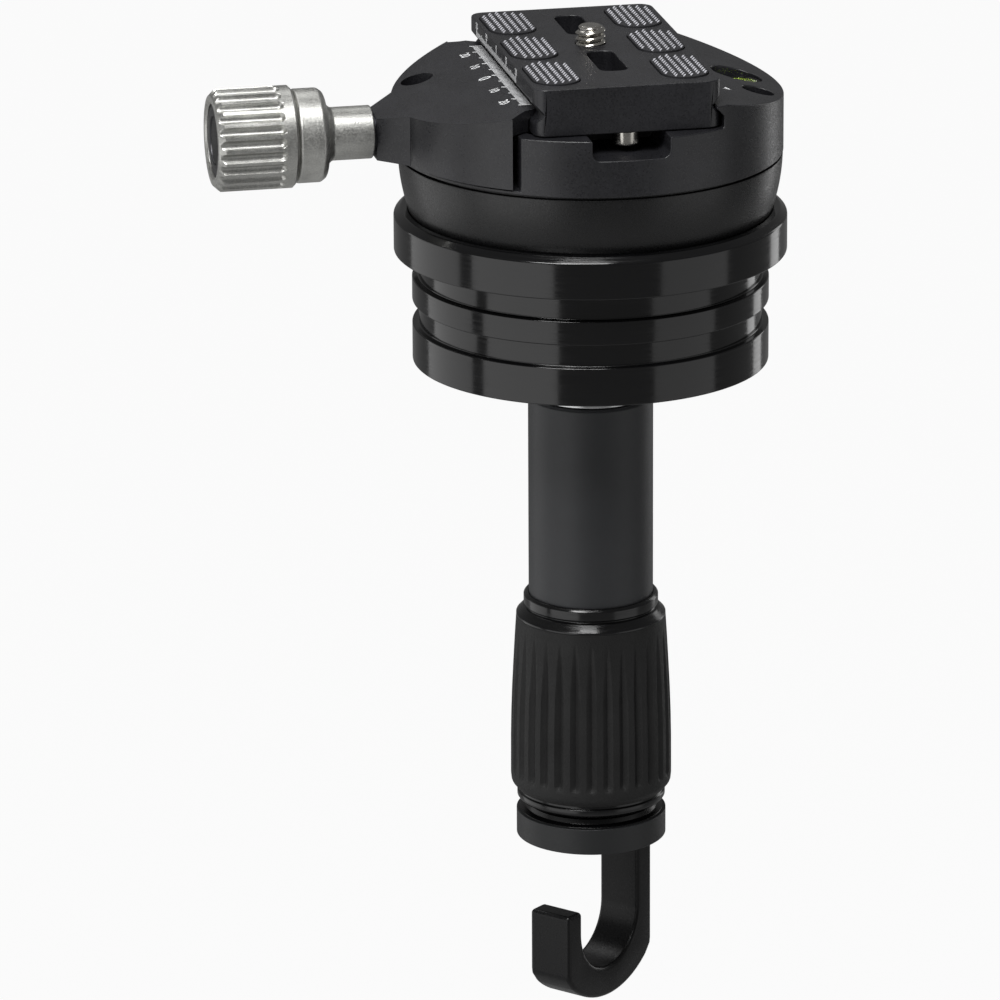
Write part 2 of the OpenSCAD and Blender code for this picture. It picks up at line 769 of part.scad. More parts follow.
module plate_section() {
    polygon([
        [-half_w + 0.5, plate_z], [half_w - 0.5, plate_z], [half_w, plate_z + 0.5],
        [half_w, v_z - v_depth], [half_w - v_depth, v_z], [half_w, v_z + v_depth],
        [half_w, plate_top - 0.4], [half_w - 0.4, plate_top], [-half_w + 0.4, plate_top],
        [-half_w, plate_top - 0.4], [-half_w, v_z + v_depth], [-half_w + v_depth, v_z],
        [-half_w, v_z - v_depth], [-half_w, plate_z + 0.5]
    ]);
}

module rounded_rect(w, l, r) {
    union() {
        translate([-w / 2 + r, -l / 2]) square([w - 2 * r, l]);
        translate([-w / 2, -l / 2 + r]) square([w, l - 2 * r]);
        for (sx = [-1, 1], sy = [-1, 1])
            translate([sx * (w / 2 - r), sy * (l / 2 - r)]) circle(r = r);
    }
}

module slot_cut(span) {
    translate([plate_x, 0, plate_z - over]) linear_extrude(height = plate_t + 2 * over)
        translate([0, (span[0] + span[1]) / 2]) rounded_rect(slot_w, span[1] - span[0], slot_w / 2 - 0.9);
}

module pad_shape(extra) {
    rounded_rect(pad_w + 2 * extra, pad_len + 2 * extra, pad_w / 2 + extra - 0.01);
}

module each_pad() {
    for (col = [-1, 1], row = [-1, 0, 1])
        translate([plate_x + col * pad_x, pad_y + row * pad_pitch, plate_top - pad_sink]) children();
}

module each_stop() {
    for (side = [-1, 1])
        translate([plate_x, plate_y + side * (plate_l / 2 - stop_in), 0]) children();
}

module quick_release_plate() {
    color("#202022") difference() {
        intersection() {
            translate([plate_x, plate_y + plate_l / 2, 0]) rotate([90, 0, 0])
                linear_extrude(height = plate_l) plate_section();
            translate([plate_x, plate_y, plate_z - over]) linear_extrude(height = plate_t + 2 * over)
                rounded_rect(plate_w, plate_l, plate_corner_r);
        }
        slot_cut(slot_front);
        slot_cut(slot_rear);
        each_pad() linear_extrude(height = plate_t) pad_shape(0.1);
        translate([plate_x, cam_y, 0]) {
            translate([0, 0, plate_z - over])
                cylinder(r = head_r + 0.3, h = head_z + head_h - plate_z + over);
            translate([0, 0, plate_z])
                cylinder(r = retainer_r + 0.3, h = retainer_z + retainer_t + 0.1 - plate_z);
            translate([0, 0, plate_z]) cylinder(r = cam_screw_r + fit, h = plate_t + over);
        }
        each_stop() translate([0, 0, plate_z - over]) cylinder(r = 1.5, h = 6 + over);
    }
}

module plate_pads() {
    color("#3c3d3f") each_pad() linear_extrude(height = pad_sink + pad_proud) pad_shape(0);
}

module stop_screws() {
    color("#c9cbce") each_stop() difference() {
        union() {
            translate([0, 0, plate_z - stop_depth]) cylinder(r = stop_r, h = stop_depth);
            translate([0, 0, plate_z - over]) cylinder(r = 1.5, h = 5 + over);
        }
        translate([0, 0, plate_z - stop_depth - over]) cylinder(r = 1.2, h = over + 1.5, $fn = 6);
    }
}

module camera_screw() {
    color("#c9cbce") translate([plate_x, cam_y, 0]) difference() {
        union() {
            translate([0, 0, head_z]) cylinder(r = head_r, h = head_h);
            translate([0, 0, head_z]) cylinder(r = cam_neck_r, h = plate_top - head_z + over);
            translate([0, 0, plate_top]) cylinder(r = cam_screw_r, h = cam_screw_up);
        }
        translate([-head_r - over, -0.8, head_z - over]) cube([2 * (head_r + over), 1.6, over + 1.4]);
    }
}

module screw_retainer() {
    color("#a9acb0") translate([plate_x, cam_y, retainer_z]) ring(retainer_r, cam_neck_r, retainer_t);
}

levelling_bowl();
bowl_liner();
pressure_washer();
washer_pad();
half_ball();
core_rod();
rod_nut();
centre_bolt();
body_screws();
locating_pins();
clamp_body();
thread_insert();
vial_case();
vial_glass();
vial_fluid();
vial_bubble();
pivot_screw();
pivot_washer();
column_tube();
tube_bush();
thrust_washer();
grip_core();
grip_collar();
grip_sleeve();
grip_end_ring();
end_cap();
cap_neck();
ballast_hook();
moving_jaw();
guide_pins();
jaw_set_screw();
jaw_springs();
clamp_screw();
knob_hub();
knob_sleeve();
knob_plug();
knob_washer();
quick_release_plate();
plate_pads();
stop_screws();
camera_screw();
screw_retainer();
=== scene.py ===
"""Blender scene of a tripod levelling head: half ball, flanged bowl, column and dovetail clamp.

Each sub-assembly is a class that holds its sizes in millimetres and builds its own pieces in
the shared frame: +Z up the column, the clamping knob along -X, the origin at the bowl's foot.
"""

from __future__ import annotations

import json
import logging
import math
from dataclasses import dataclass, field
from enum import Enum
from typing import Callable, Optional, Sequence

import bpy
from mathutils import Matrix, Vector

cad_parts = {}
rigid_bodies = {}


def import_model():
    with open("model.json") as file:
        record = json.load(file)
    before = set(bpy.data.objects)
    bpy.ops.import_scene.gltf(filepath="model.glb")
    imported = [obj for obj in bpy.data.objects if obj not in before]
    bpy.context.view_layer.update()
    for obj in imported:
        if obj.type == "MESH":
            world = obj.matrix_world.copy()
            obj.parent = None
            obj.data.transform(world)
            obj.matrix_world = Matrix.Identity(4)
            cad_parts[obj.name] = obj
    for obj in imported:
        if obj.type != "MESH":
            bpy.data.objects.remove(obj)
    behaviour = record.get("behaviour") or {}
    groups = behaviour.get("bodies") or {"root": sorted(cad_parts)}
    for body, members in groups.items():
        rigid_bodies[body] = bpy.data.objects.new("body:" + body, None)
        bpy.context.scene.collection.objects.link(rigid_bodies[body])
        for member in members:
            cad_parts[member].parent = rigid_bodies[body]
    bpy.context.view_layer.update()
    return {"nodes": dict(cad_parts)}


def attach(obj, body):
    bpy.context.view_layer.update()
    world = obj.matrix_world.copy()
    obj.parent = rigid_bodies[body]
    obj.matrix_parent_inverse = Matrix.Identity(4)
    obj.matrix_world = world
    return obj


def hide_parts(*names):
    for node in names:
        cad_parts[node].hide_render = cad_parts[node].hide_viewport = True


LOG = logging.getLogger("levelling_head")
MM = 0.001
# How far a scale's marks stand out and reach in, and half the width of one, in mm.
MARK_LIFT, MARK_SINK, TICK_HALF = 0.012, 0.01, 0.27
# Edges less sharp than this many degrees are shaded smooth.
SMOOTH_UNDER = 38
# The size of the soft clouds of tone in a finish, in mm.
CLOUD_MM = 9

Pair = tuple[float, float]
Triple = tuple[float, float, float]
Piece = bpy.types.Object


class Axis(Enum):
    """The line that a turned piece is turned about."""

    UP = "z"
    ALONG_CLAMP = "x"


class Cut(Enum):
    """What a second body does to the first."""

    REMOVE = "DIFFERENCE"
    JOIN = "UNION"
    KEEP = "INTERSECT"


# ---------------------------------------------------------------- bench tools


def deselect_all() -> None:
    """Leaves object mode with nothing selected."""
    if bpy.context.mode != "OBJECT":
        bpy.ops.object.mode_set(mode="OBJECT")
    bpy.ops.object.select_all(action="DESELECT")


def take(piece: Piece) -> None:
    """Makes a piece the only selected one, and the active one."""
    deselect_all()
    piece.select_set(True)
    bpy.context.view_layer.objects.active = piece


def edit_all(piece: Piece) -> None:
    """Opens a piece in edit mode with all of it selected."""
    take(piece)
    bpy.ops.object.mode_set(mode="EDIT")
    bpy.ops.mesh.select_all(action="SELECT")


def settle(piece: Piece, name: str = "") -> Piece:
    """Puts a piece's place into its mesh and leaves its object at the origin.

    Args:
        piece: the piece to settle.
        name: its new name, if it gets one.

    Returns:
        The same piece.
    """
    take(piece)
    bpy.ops.object.transform_apply(location=True, rotation=True, scale=True)
    if name:
        piece.name = name
        piece.data.name = name
    return piece


def tidy_mesh(piece: Piece, gap_mm: float = 0.0005) -> Piece:
    """Merges doubled points and turns every face outwards.

    Args:
        piece: the piece to tidy.
        gap_mm: the distance under which two points are one.

    Returns:
        The same piece.
    """
    edit_all(piece)
    bpy.ops.mesh.remove_doubles(threshold=gap_mm * MM)
    bpy.ops.mesh.normals_make_consistent(inside=False)
    bpy.ops.object.mode_set(mode="OBJECT")
    return piece


def turned(
    name: str, profile: Sequence[Pair], segments: int = 192, axis: Axis = Axis.UP,
    centre: Triple = (0.0, 0.0, 0.0),
) -> Piece:
    """Turns a piece: a ring is extruded and scaled from each point of its section to the next.

    Args:
        name: the piece's name.
        profile: radius and place along the axis of each point, in mm; a section that ends where
            it began gives a hollow piece, and an open one is capped at both ends.
        segments: points round the piece.
        axis: the line it is turned about.
        centre: where the axis lies, in mm.

    Returns:
        The turned piece.
    """
    deselect_all()
    radius, place = profile[0]
    bpy.ops.mesh.primitive_circle_add(vertices=segments, radius=radius * MM)
    piece = bpy.context.object
    edit_all(piece)
    closed = profile[0] == profile[-1]
    bpy.ops.transform.translate(value=(0, 0, place * MM))
    if not closed:
        bpy.ops.mesh.edge_face_add()
        bpy.ops.mesh.duplicate()
        bpy.ops.mesh.delete(type="ONLY_FACE")
        bpy.ops.mesh.select_all(action="SELECT")
        bpy.ops.mesh.remove_doubles(threshold=1e-7)
        bpy.ops.mesh.edge_face_add()
    for (r_from, z_from), (r_to, z_to) in zip(profile, profile[1:]):
        bpy.ops.mesh.extrude_region_move(
            TRANSFORM_OT_translate={"value": (0, 0, (z_to - z_from) * MM)}
        )
        if r_to != r_from:
            grow = r_to / r_from
            bpy.ops.transform.resize(value=(grow, grow, 1), center_override=(0, 0, z_to * MM))
    bpy.ops.object.mode_set(mode="OBJECT")
    tidy_mesh(piece)
    if axis is Axis.ALONG_CLAMP:
        piece.rotation_euler = (0, math.pi / 2, 0)
    piece.location = Vector(centre) * MM
    return settle(piece, name)


def trace(points: Sequence[Vector]) -> Piece:
    """Draws a line from point to point, in metres, and leaves it open in edit mode."""
    deselect_all()
    bpy.ops.mesh.primitive_plane_add(size=MM)
    piece = bpy.context.object
    edit_all(piece)
    bpy.ops.mesh.merge(type="CENTER")
    bpy.ops.transform.translate(value=points[0])
    for start, end in zip(points, points[1:]):
        bpy.ops.mesh.extrude_region_move(TRANSFORM_OT_translate={"value": end - start})
    return piece


def prism(
    name: str, outline: Sequence[Pair], low: float, high: float, across: bool = False
) -> Piece:
    """Draws an outline point by point, fills it and extrudes it.

    Args:
        name: the piece's name.
        outline: its corners in order, in mm.
        low: where it starts, in mm.
        high: where it ends, in mm.
        across: True if the outline is drawn in X and Z and extruded along Y.

    Returns:
        The piece.
    """
    piece = trace(
        [Vector((u, low, v)) * MM if across else Vector((u, v, low)) * MM for u, v in outline]
    )
    bpy.ops.mesh.select_all(action="SELECT")
    bpy.ops.mesh.edge_face_add()
    step = (0, (high - low) * MM, 0) if across else (0, 0, (high - low) * MM)
    bpy.ops.mesh.extrude_region_move(TRANSFORM_OT_translate={"value": step})
    bpy.ops.object.mode_set(mode="OBJECT")
    tidy_mesh(piece)
    return settle(piece, name)


def rod(name: str, radius: float, start: Triple, end: Triple, segments: int = 64) -> Piece:
    """Adds a round bar between two points.

    Args:
        name: its name.
        radius: its radius in mm.
        start: one end in mm.
        end: the other end in mm.
        segments: points round it.

    Returns:
        The bar.
    """
    deselect_all()
    first, last = Vector(start), Vector(end)
    bpy.ops.mesh.primitive_cylinder_add(
        vertices=segments, radius=radius * MM, depth=(last - first).length * MM
    )
    piece = bpy.context.object
    piece.matrix_world = Matrix.Translation((first + last) / 2 * MM) @ (
        (last - first).to_track_quat("Z", "Y").to_matrix().to_4x4()
    )
    return settle(piece, name)


def drill(radius: float, x: float, y: float, low: float, high: float, segments: int = 64) -> Piece:
    """Adds an upright round cutter between two heights, in mm."""
    return rod("drill", radius, (x, y, low), (x, y, high), segments)


def block(name: str, low: Triple, high: Triple) -> Piece:
    """Adds a box between two corners, in mm."""
    deselect_all()
    bpy.ops.mesh.primitive_cube_add(size=1)
    piece = bpy.context.object
    piece.location = (Vector(low) + Vector(high)) / 2 * MM
    piece.scale = (Vector(high) - Vector(low)) * MM
    return settle(piece, name)


def work(piece: Piece, tools: Sequence[Piece], cut: Cut = Cut.REMOVE) -> Piece:
    """Cuts or joins other bodies to a piece, and puts them away.

    Args:
        piece: the piece that is worked.
        tools: the bodies that cut it or join it.
        cut: what they do.

    Returns:
        The same piece.
    """
    for tool in tools:
        step = piece.modifiers.new("work", "BOOLEAN")
        step.operation, step.solver, step.object = cut.value, "EXACT", tool
        take(piece)
        bpy.ops.object.modifier_apply(modifier=step.name)
        bpy.data.objects.remove(tool)
    return tidy_mesh(piece)


def soften(
    piece: Piece, width: float, segments: int = 3, angle: float = 32.0, careful: bool = True
) -> Piece:
    """Rounds every sharp edge and shades the rest smooth.

    Args:
        piece: the piece.
        width: the width of the rounding in mm.
        segments: faces across it.
        angle: edges sharper than this many degrees are rounded.
        careful: True to narrow the rounding everywhere to what the shortest edge allows.

    Returns:
        The same piece.
    """
    take(piece)
    if width > 0:
        bevel = piece.modifiers.new("edges", "BEVEL")
        bevel.width, bevel.segments = width * MM, segments
        bevel.limit_method, bevel.angle_limit = "ANGLE", math.radians(angle)
        bevel.use_clamp_overlap = careful
        bpy.ops.object.modifier_apply(modifier=bevel.name)
    bpy.ops.object.shade_smooth_by_angle(angle=math.radians(SMOOTH_UNDER))
    weigh = piece.modifiers.new("flats", "WEIGHTED_NORMAL")
    weigh.keep_sharp = True
    bpy.ops.object.modifier_apply(modifier=weigh.name)
    return piece


def reshape(piece: Piece, move: Callable[[Vector], Vector]) -> Piece:
    """Moves each point of a piece as a rule says, in mm."""
    for point in piece.data.vertices:
        point.co = move(point.co / MM) * MM
    piece.data.update()
    return piece


def join(name: str, pieces: Sequence[Piece]) -> Piece:
    """Makes one object of several."""
    take(pieces[0])
    for piece in pieces[1:]:
        piece.select_set(True)
    bpy.ops.object.join()
    return settle(bpy.context.view_layer.objects.active, name)


def copy_to(piece: Piece, places: Sequence[Triple]) -> list[Piece]:
    """Copies a piece, with a mesh of its own, to each offset in mm."""
    copies = []
    for place in places:
        twin = piece.copy()
        twin.data = piece.data.copy()
        bpy.context.scene.collection.objects.link(twin)
        twin.data.transform(Matrix.Translation(Vector(place) * MM))
        copies.append(twin)
    return copies


def arc(centre: Pair, radius: float, start: float, end: float, steps: int) -> list[Pair]:
    """Points on an arc, in mm, with both ends; the angles are in degrees."""
    return [
        (
            centre[0] + radius * math.cos(math.radians(start + (end - start) * i / steps)),
            centre[1] + radius * math.sin(math.radians(start + (end - start) * i / steps)),
        )
        for i in range(steps + 1)
    ]


def dish_z(centre_z: float, radius: float, across: float) -> float:
    """The height of a sphere's underside at a distance from its axis, in mm."""
    return centre_z - math.sqrt(radius**2 - across**2)


def rounded_outline(wide: float, long: float, corner: float, centre: Pair) -> list[Pair]:
    """The outline of a rectangle with round corners, in mm, counter-clockwise."""
    points: list[Pair] = []
    for sx, sy, start in ((1, 1, 0), (-1, 1, 90), (-1, -1, 180), (1, -1, 270)):
        middle = (centre[0] + sx * (wide / 2 - corner), centre[1] + sy * (long / 2 - corner))
        points += arc(middle, corner, start, start + 90, 8)
    return points


def by_rank(step: int, tens: float, fives: float, ones: float) -> float:
    """The length of a scale's mark: long at each ten, middling at each five."""
    return tens if step % 10 == 0 else fives if step % 5 == 0 else ones


def numeral(text: str, size: float, place: Matrix, name: str) -> Piece:
    """Sets a plain number flat on a surface.

    Args:
        text: the digits.
        size: their height in mm.
        place: where the middle of the number lies, with X along the line of writing.
        name: the piece's name.

    Returns:
        The number as a thin mesh.
    """
    deselect_all()
    bpy.ops.object.text_add()
    word = bpy.context.object
    word.data.body = text
    word.data.align_x, word.data.align_y = "CENTER", "CENTER"
    word.data.size = size * MM * 1.4
    word.data.extrude = MARK_LIFT * MM
    word.data.offset = 0.05 * MM
    word.data.resolution_u = 4
    take(word)
    bpy.ops.object.convert(target="MESH")
    word = bpy.context.object
    word.matrix_world = place
    return settle(word, name)


# ---------------------------------------------------------------- finishes


def linear(colour: str) -> tuple[float, float, float, float]:
    """Turns an sRGB hex colour into the linear one that a shader takes."""
    parts = [int(colour[i : i + 2], 16) / 255 for i in (1, 3, 5)]
    red, green, blue = [c / 12.92 if c <= 0.04045 else ((c + 0.055) / 1.055) ** 2.4 for c in parts]
    return (red, green, blue, 1.0)


def add_node(
    tree: bpy.types.NodeTree, kind: str, settings: Optional[dict] = None, **links: object
) -> bpy.types.Node:
    """Adds a node with its settings and links.

    Args:
        tree: the material's or world's node tree.
        kind: the node's type name.
        settings: attributes of the node, or values of its inputs by name or number.
        links: an output socket for each input, with _ for a space in its name.

    Returns:
        The new node.
    """
    node = tree.nodes.new(kind)
    for key, value in (settings or {}).items():
        if isinstance(key, str) and hasattr(node, key):
            setattr(node, key, value)
        else:
            node.inputs[key].default_value = value
    for key, socket in links.items():
        place = int(key[1:]) if key[1:].isdigit() else key.replace("_", " ")
        tree.links.new(socket, node.inputs[place])
    return node


@dataclass(frozen=True)
class Finish:
    """A surface: what it is made of and how its maker finished it."""

    name: str
    colour: str
    roughness: float
    metallic: float = 0.0
    specular: float = 0.5
    grain_mm: float = 0.3
    grain_depth_mm: float = 0.01
    mottle: float = 0.12
    roughness_spread: float = 0.08
    stretch: Triple = (1.0, 1.0, 1.0)

    def material(self) -> bpy.types.Material:
        """Builds the material, or finds it if it was built before.

        Returns:
            The node material of this finish.
        """
        found = bpy.data.materials.get(self.name)
        if found:
            return found
        made = bpy.data.materials.new(self.name)
        made.use_nodes = True
        tree = made.node_tree
        tree.nodes.clear()
        settings = {"Metallic": self.metallic, "Specular IOR Level": self.specular}
        shader = add_node(tree, "ShaderNodeBsdfPrincipled", settings)
        self.dress(tree, shader)
        add_node(tree, "ShaderNodeOutputMaterial", Surface=shader.outputs[0])
        return made

    def dress(self, tree: bpy.types.NodeTree, shader: bpy.types.Node) -> None:
        """Adds the grain, the mottle and the change of gloss.

        Args:
            tree: the material's node tree.
            shader: its main shader.
        """
        place = add_node(tree, "ShaderNodeTexCoord")
        lie = add_node(
            tree, "ShaderNodeMapping", {"Scale": self.stretch}, Vector=place.outputs["Object"]
        )
        grain = add_node(
            tree, "ShaderNodeTexNoise",
            {"Scale": 1 / (self.grain_mm * MM), "Detail": 2.0, "Roughness": 0.55},
            Vector=lie.outputs[0],
        )
        cloud = add_node(
            tree, "ShaderNodeTexNoise", {"Scale": 1 / (CLOUD_MM * MM), "Detail": 4.0, "Roughness": 0.6},
            Vector=lie.outputs[0],
        )
        both = add_node(
            tree, "ShaderNodeMath", {"operation": "MULTIPLY_ADD", 1: 0.65}, _0=grain.outputs[0],
            _2=cloud.outputs[0],
        )
        base = linear(self.colour)
        dark = tuple(c * (1 - self.mottle) for c in base[:3]) + (1.0,)
        light = tuple(min(1.0, c * (1 + self.mottle)) for c in base[:3]) + (1.0,)
        tone = add_node(
            tree, "ShaderNodeMix", {"data_type": "RGBA", 6: dark, 7: light},
            _0=add_node(
                tree, "ShaderNodeMapRange", {"From Min": 0.55, "From Max": 1.1},
                Value=both.outputs[0],
            ).outputs[0],
        )
        gloss = add_node(
            tree, "ShaderNodeMapRange",
            {
                "From Min": 0.3, "From Max": 0.7,
                "To Min": max(0.02, self.roughness - self.roughness_spread),
                "To Max": min(1.0, self.roughness + self.roughness_spread),
            },
            Value=grain.outputs[0],
        )
        bump = add_node(
            tree, "ShaderNodeBump", {"Strength": 1.0, "Distance": self.grain_depth_mm * MM},
            Height=grain.outputs[0],
        )
        tree.links.new(tone.outputs[2], shader.inputs["Base Color"])
        tree.links.new(gloss.outputs[0], shader.inputs["Roughness"])
        tree.links.new(bump.outputs[0], shader.inputs["Normal"])


@dataclass(frozen=True)
class Clear(Finish):
    """A clear or tinted liquid or plastic."""

    ior: float = 1.49

    def dress(self, tree: bpy.types.NodeTree, shader: bpy.types.Node) -> None:
        """Makes the surface clear, with faint moulding waves."""
        shader.inputs["Base Color"].default_value = linear(self.colour)
        shader.inputs["Roughness"].default_value = self.roughness
        shader.inputs["Transmission Weight"].default_value = 1.0
        shader.inputs["IOR"].default_value = self.ior
        place = add_node(tree, "ShaderNodeTexCoord")
        wave = add_node(
            tree, "ShaderNodeTexNoise", {"Scale": 1 / (3 * MM), "Detail": 1.0},
            Vector=place.outputs["Object"],
        )
        bump = add_node(
            tree, "ShaderNodeBump", {"Strength": 0.4, "Distance": 0.01 * MM}, Height=wave.outputs[0]
        )
        tree.links.new(bump.outputs[0], shader.inputs["Normal"])


# Aluminium that is bead-blasted and then anodised black: fine sparkle, satin, slightly cool.
SATIN_BLACK = Finish(
    "satin_black_anodised_aluminium", "#202023", 0.36, grain_mm=0.36, grain_depth_mm=0.016,
    mottle=0.35, roughness_spread=0.12,
)
# The same metal turned on a lathe and anodised glossy: hair-fine rings run round it.
TURNED_BLACK = Finish(
    "gloss_black_turned_aluminium", "#070708", 0.13, specular=0.55, grain_mm=0.25,
    grain_depth_mm=0.0035, mottle=0.2, roughness_spread=0.06, stretch=(0.03, 0.03, 1.0),
)
# The ball is turned and polished finer than the clamp, so that it slides.
BALL_BLACK = Finish(
    "satin_black_polished_aluminium", "#0c0c0d", 0.33, grain_depth_mm=0.02, mottle=0.35,
    roughness_spread=0.1,
)
# Drawn tube with a matte charcoal anodised skin.
CHARCOAL = Finish(
    "matte_charcoal_anodised_tube", "#333436", 0.5, specular=0.45, grain_depth_mm=0.006,
    mottle=0.08, roughness_spread=0.06,
)
# Gloss black rings of the grip.
RING_BLACK = Finish(
    "gloss_black_anodised_ring", "#0a0a0b", 0.2, grain_depth_mm=0.003, mottle=0.15,
    stretch=(0.05, 0.05, 1.0),
)
# The neck between grip and cap lies in the shade of both; its deep black, darker than the rings, is
# painted shade.
NECK_SHADE_BLACK = Finish(
    "painted_shade_black_neck", "#050506", 0.3, specular=0.3, grain_depth_mm=0.003, mottle=0.1,
)
# Matte black cap under the grip.
CAP_BLACK = Finish(
    "matte_black_anodised_cap", "#1f2021", 0.48, specular=0.45, grain_depth_mm=0.006, mottle=0.1,
)
# Moulded rubber: dull, soft, with a spark-eroded grain.
RUBBER = Finish(
    "moulded_black_rubber", "#1c1c1c", 0.6, specular=0.35, grain_mm=0.4, grain_depth_mm=0.08,
    mottle=0.35, roughness_spread=0.1,
)
PAD_RUBBER = Finish(
    "ribbed_pad_rubber", "#27272a", 0.6, specular=0.35, grain_mm=0.4, grain_depth_mm=0.012,
    mottle=0.15,
)
# The tops of the ribs on the pads are coloured pale as a painted highlight, for the light they catch
# over the darker ground between them.
RIB_TOP_HIGHLIGHT = Finish(
    "painted_highlight_rib_tops", "#c4c4ca", 0.55, specular=0.4, grain_mm=0.5, grain_depth_mm=0.01,
    mottle=0.25,
)
# Steel hook under a fine powder coat.
HOOK_BLACK = Finish(
    "fine_powder_coated_steel", "#080809", 0.34, specular=0.3, grain_mm=0.35, grain_depth_mm=0.01,
    mottle=0.15,
)
# Aluminium blasted with fine beads, left silver: a soft sparkle.
BLASTED = Finish(
    "bead_blasted_aluminium", "#c2c2be", 0.42, metallic=1.0, grain_mm=0.34, grain_depth_mm=0.035,
    mottle=0.3, roughness_spread=0.1,
)
# The plug in the knob's end is the same metal, turned and left duller.
RING_SHADE = Finish(
    "dull_turned_aluminium", "#4c4c4e", 0.4, metallic=1.0, grain_depth_mm=0.02, mottle=0.15,
)
BRIGHT_STEEL = Finish(
    "bright_rolled_steel", "#c9c6bf", 0.2, metallic=1.0, grain_depth_mm=0.004, mottle=0.08,
)
MACHINED = Finish(
    "bright_machined_aluminium", "#c4c5c6", 0.26, metallic=1.0, grain_mm=0.25, grain_depth_mm=0.005,
    mottle=0.1, stretch=(0.05, 0.05, 1.0),
)
GROUND_STEEL = Finish(
    "ground_steel", "#9b9c9e", 0.3, metallic=1.0, grain_mm=0.25, grain_depth_mm=0.005, mottle=0.1,
    stretch=(1.0, 1.0, 0.05),
)
OXIDE_STEEL = Finish(
    "black_oxide_steel", "#303033", 0.34, metallic=1.0, grain_mm=0.25, grain_depth_mm=0.006,
    mottle=0.15,
)
BRONZE = Finish("bearing_bronze", "#b08d57", 0.32, metallic=1.0, grain_depth_mm=0.005)
ACETAL = Finish(
    "natural_acetal", "#dcd8cc", 0.4, specular=0.45, grain_mm=0.4, grain_depth_mm=0.005, mottle=0.04
)
DARK_PLASTIC = Finish(
    "moulded_black_nylon", "#0e0e0f", 0.4, specular=0.45, grain_mm=0.4, grain_depth_mm=0.008,
)
# Marks burnt through the black skin by a laser: pale, slightly rough.
LASER_MARK = Finish(
    "laser_bared_aluminium", "#e2e3e4", 0.55, specular=0.4, grain_mm=0.15, grain_depth_mm=0.002,
)
# The inside of the vial's cup is painted white, so that the spirit glows.
VIAL_WHITE = Finish(
    "white_enamel", "#f4f4ef", 0.4, specular=0.4, grain_mm=0.5, grain_depth_mm=0.002, mottle=0.02,
)
ACRYLIC = Clear("clear_acrylic", "#f4f8ee", 0.03)
SPIRIT = Clear("yellow_green_spirit", "#e2f0a0", 0.02, ior=1.36)
AIR = Clear("air_bubble", "#ffffff", 0.0, ior=1.02)


# ---------------------------------------------------------------- parts


class Assembly:
    """A sub-assembly that can hand its pieces over to the frame."""

    body: str = ""

    def place(
        self, piece: Piece, finish: Finish, slot: str, stands_for: Sequence[str] = ()
    ) -> Piece:
        """Dresses a piece and ties it to the frame.

        Args:
            piece: the finished piece.
            finish: its surface.
            slot: the record's slot; not used.
            stands_for: the frame nodes that it replaces.

        Returns:
            The same piece.
        """
        piece.data.materials.clear()
        piece.data.materials.append(finish.material())
        if stands_for:
            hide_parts(*stands_for)
        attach(piece, self.body)
        LOG.info("%s: %d faces on %s", piece.name, len(piece.data.polygons), self.body)
        return piece

    def lathe(
        self, name: str, section: Sequence[Pair], finish: Finish, slot: str,
        rounding: Sequence[float] = (0.0,), segments: int = 192, stands: bool = True, **lie: object,
    ) -> Piece:
        """Turns a piece, rounds its edges and ties it to the frame.

        Args:
            name: the piece's name.
            section: its section, as turned() takes it.
            finish: its surface.
            slot: its slot, and the frame node that it replaces if it stands for one.
            rounding: the width, and if need be the faces and the angle, that soften() takes.
            segments: points round it.
            stands: False for a piece that only adds to its node.
            lie: the axis and the centre that turned() takes.

        Returns:
            The piece.
        """
        piece = soften(turned(name, section, segments, **lie), *rounding)
        return self.place(piece, finish, slot, [slot] if stands else ())

    def build(self) -> None:
        """Builds the assembly's pieces."""
        raise NotImplementedError


@dataclass
class LevellingBowl(Assembly):
    """The flanged bowl that drops into a tripod's crown."""

    body: str = "bowl"
    ball_z: float = 46.0
    seat_r: float = 40.6
    under_r: float = 45.4
    spigot_r: float = 37.7
    groove_r: float = 36.3
    flange_r: float = 41.5
    skirt_r: float = 33.7
    hole_r: float = 15.02
    top: float = 33.0
    liner_low: float = 9.75
    liner_high: float = 19.8

    def seat(self, radius: float, low: float, high: float, steps: int) -> list[Pair]:
        """Points on a sphere about the ball's centre between two heights, from high to low."""
        points = []
        for i in range(steps + 1):
            z = high + (low - high) * i / steps
            points.append((math.sqrt(radius**2 - (self.ball_z - z) ** 2), z))
        return points

    def build(self) -> None:
        """Turns the bowl, with its liner's groove."""
        sp, gr, fl = self.spigot_r, self.groove_r, self.flange_r
        outside = [
            (self.skirt_r, 0.0), (sp, 0.0), (sp, 8.2), (gr, 8.2), (gr, 13.1), (sp, 13.1),
            (sp, 18.3), (gr, 18.3), (gr, 24.0), (fl, 24.0), (fl, 31.7), (fl - 1.5, 33.0),
        ]
        hole_top = dish_z(self.ball_z, self.seat_r, self.hole_r)
        hole_low = dish_z(self.ball_z, self.under_r, self.hole_r)
        skirt_top = dish_z(self.ball_z, self.under_r, self.skirt_r)
        seat = self.seat(self.seat_r, self.liner_high, self.top, 14)
        recess = self.seat(self.seat_r + 0.8, self.liner_low, self.liner_high, 8)
        foot = self.seat(self.seat_r, hole_top, self.liner_low, 8)
        under = self.seat(self.under_r, hole_low, skirt_top, 14)[::-1]
        section = outside + seat + recess + foot + under + outside[:1]
        self.lathe("bowl_shell", section, TURNED_BLACK, "levelling_bowl", (0.28,), 256)


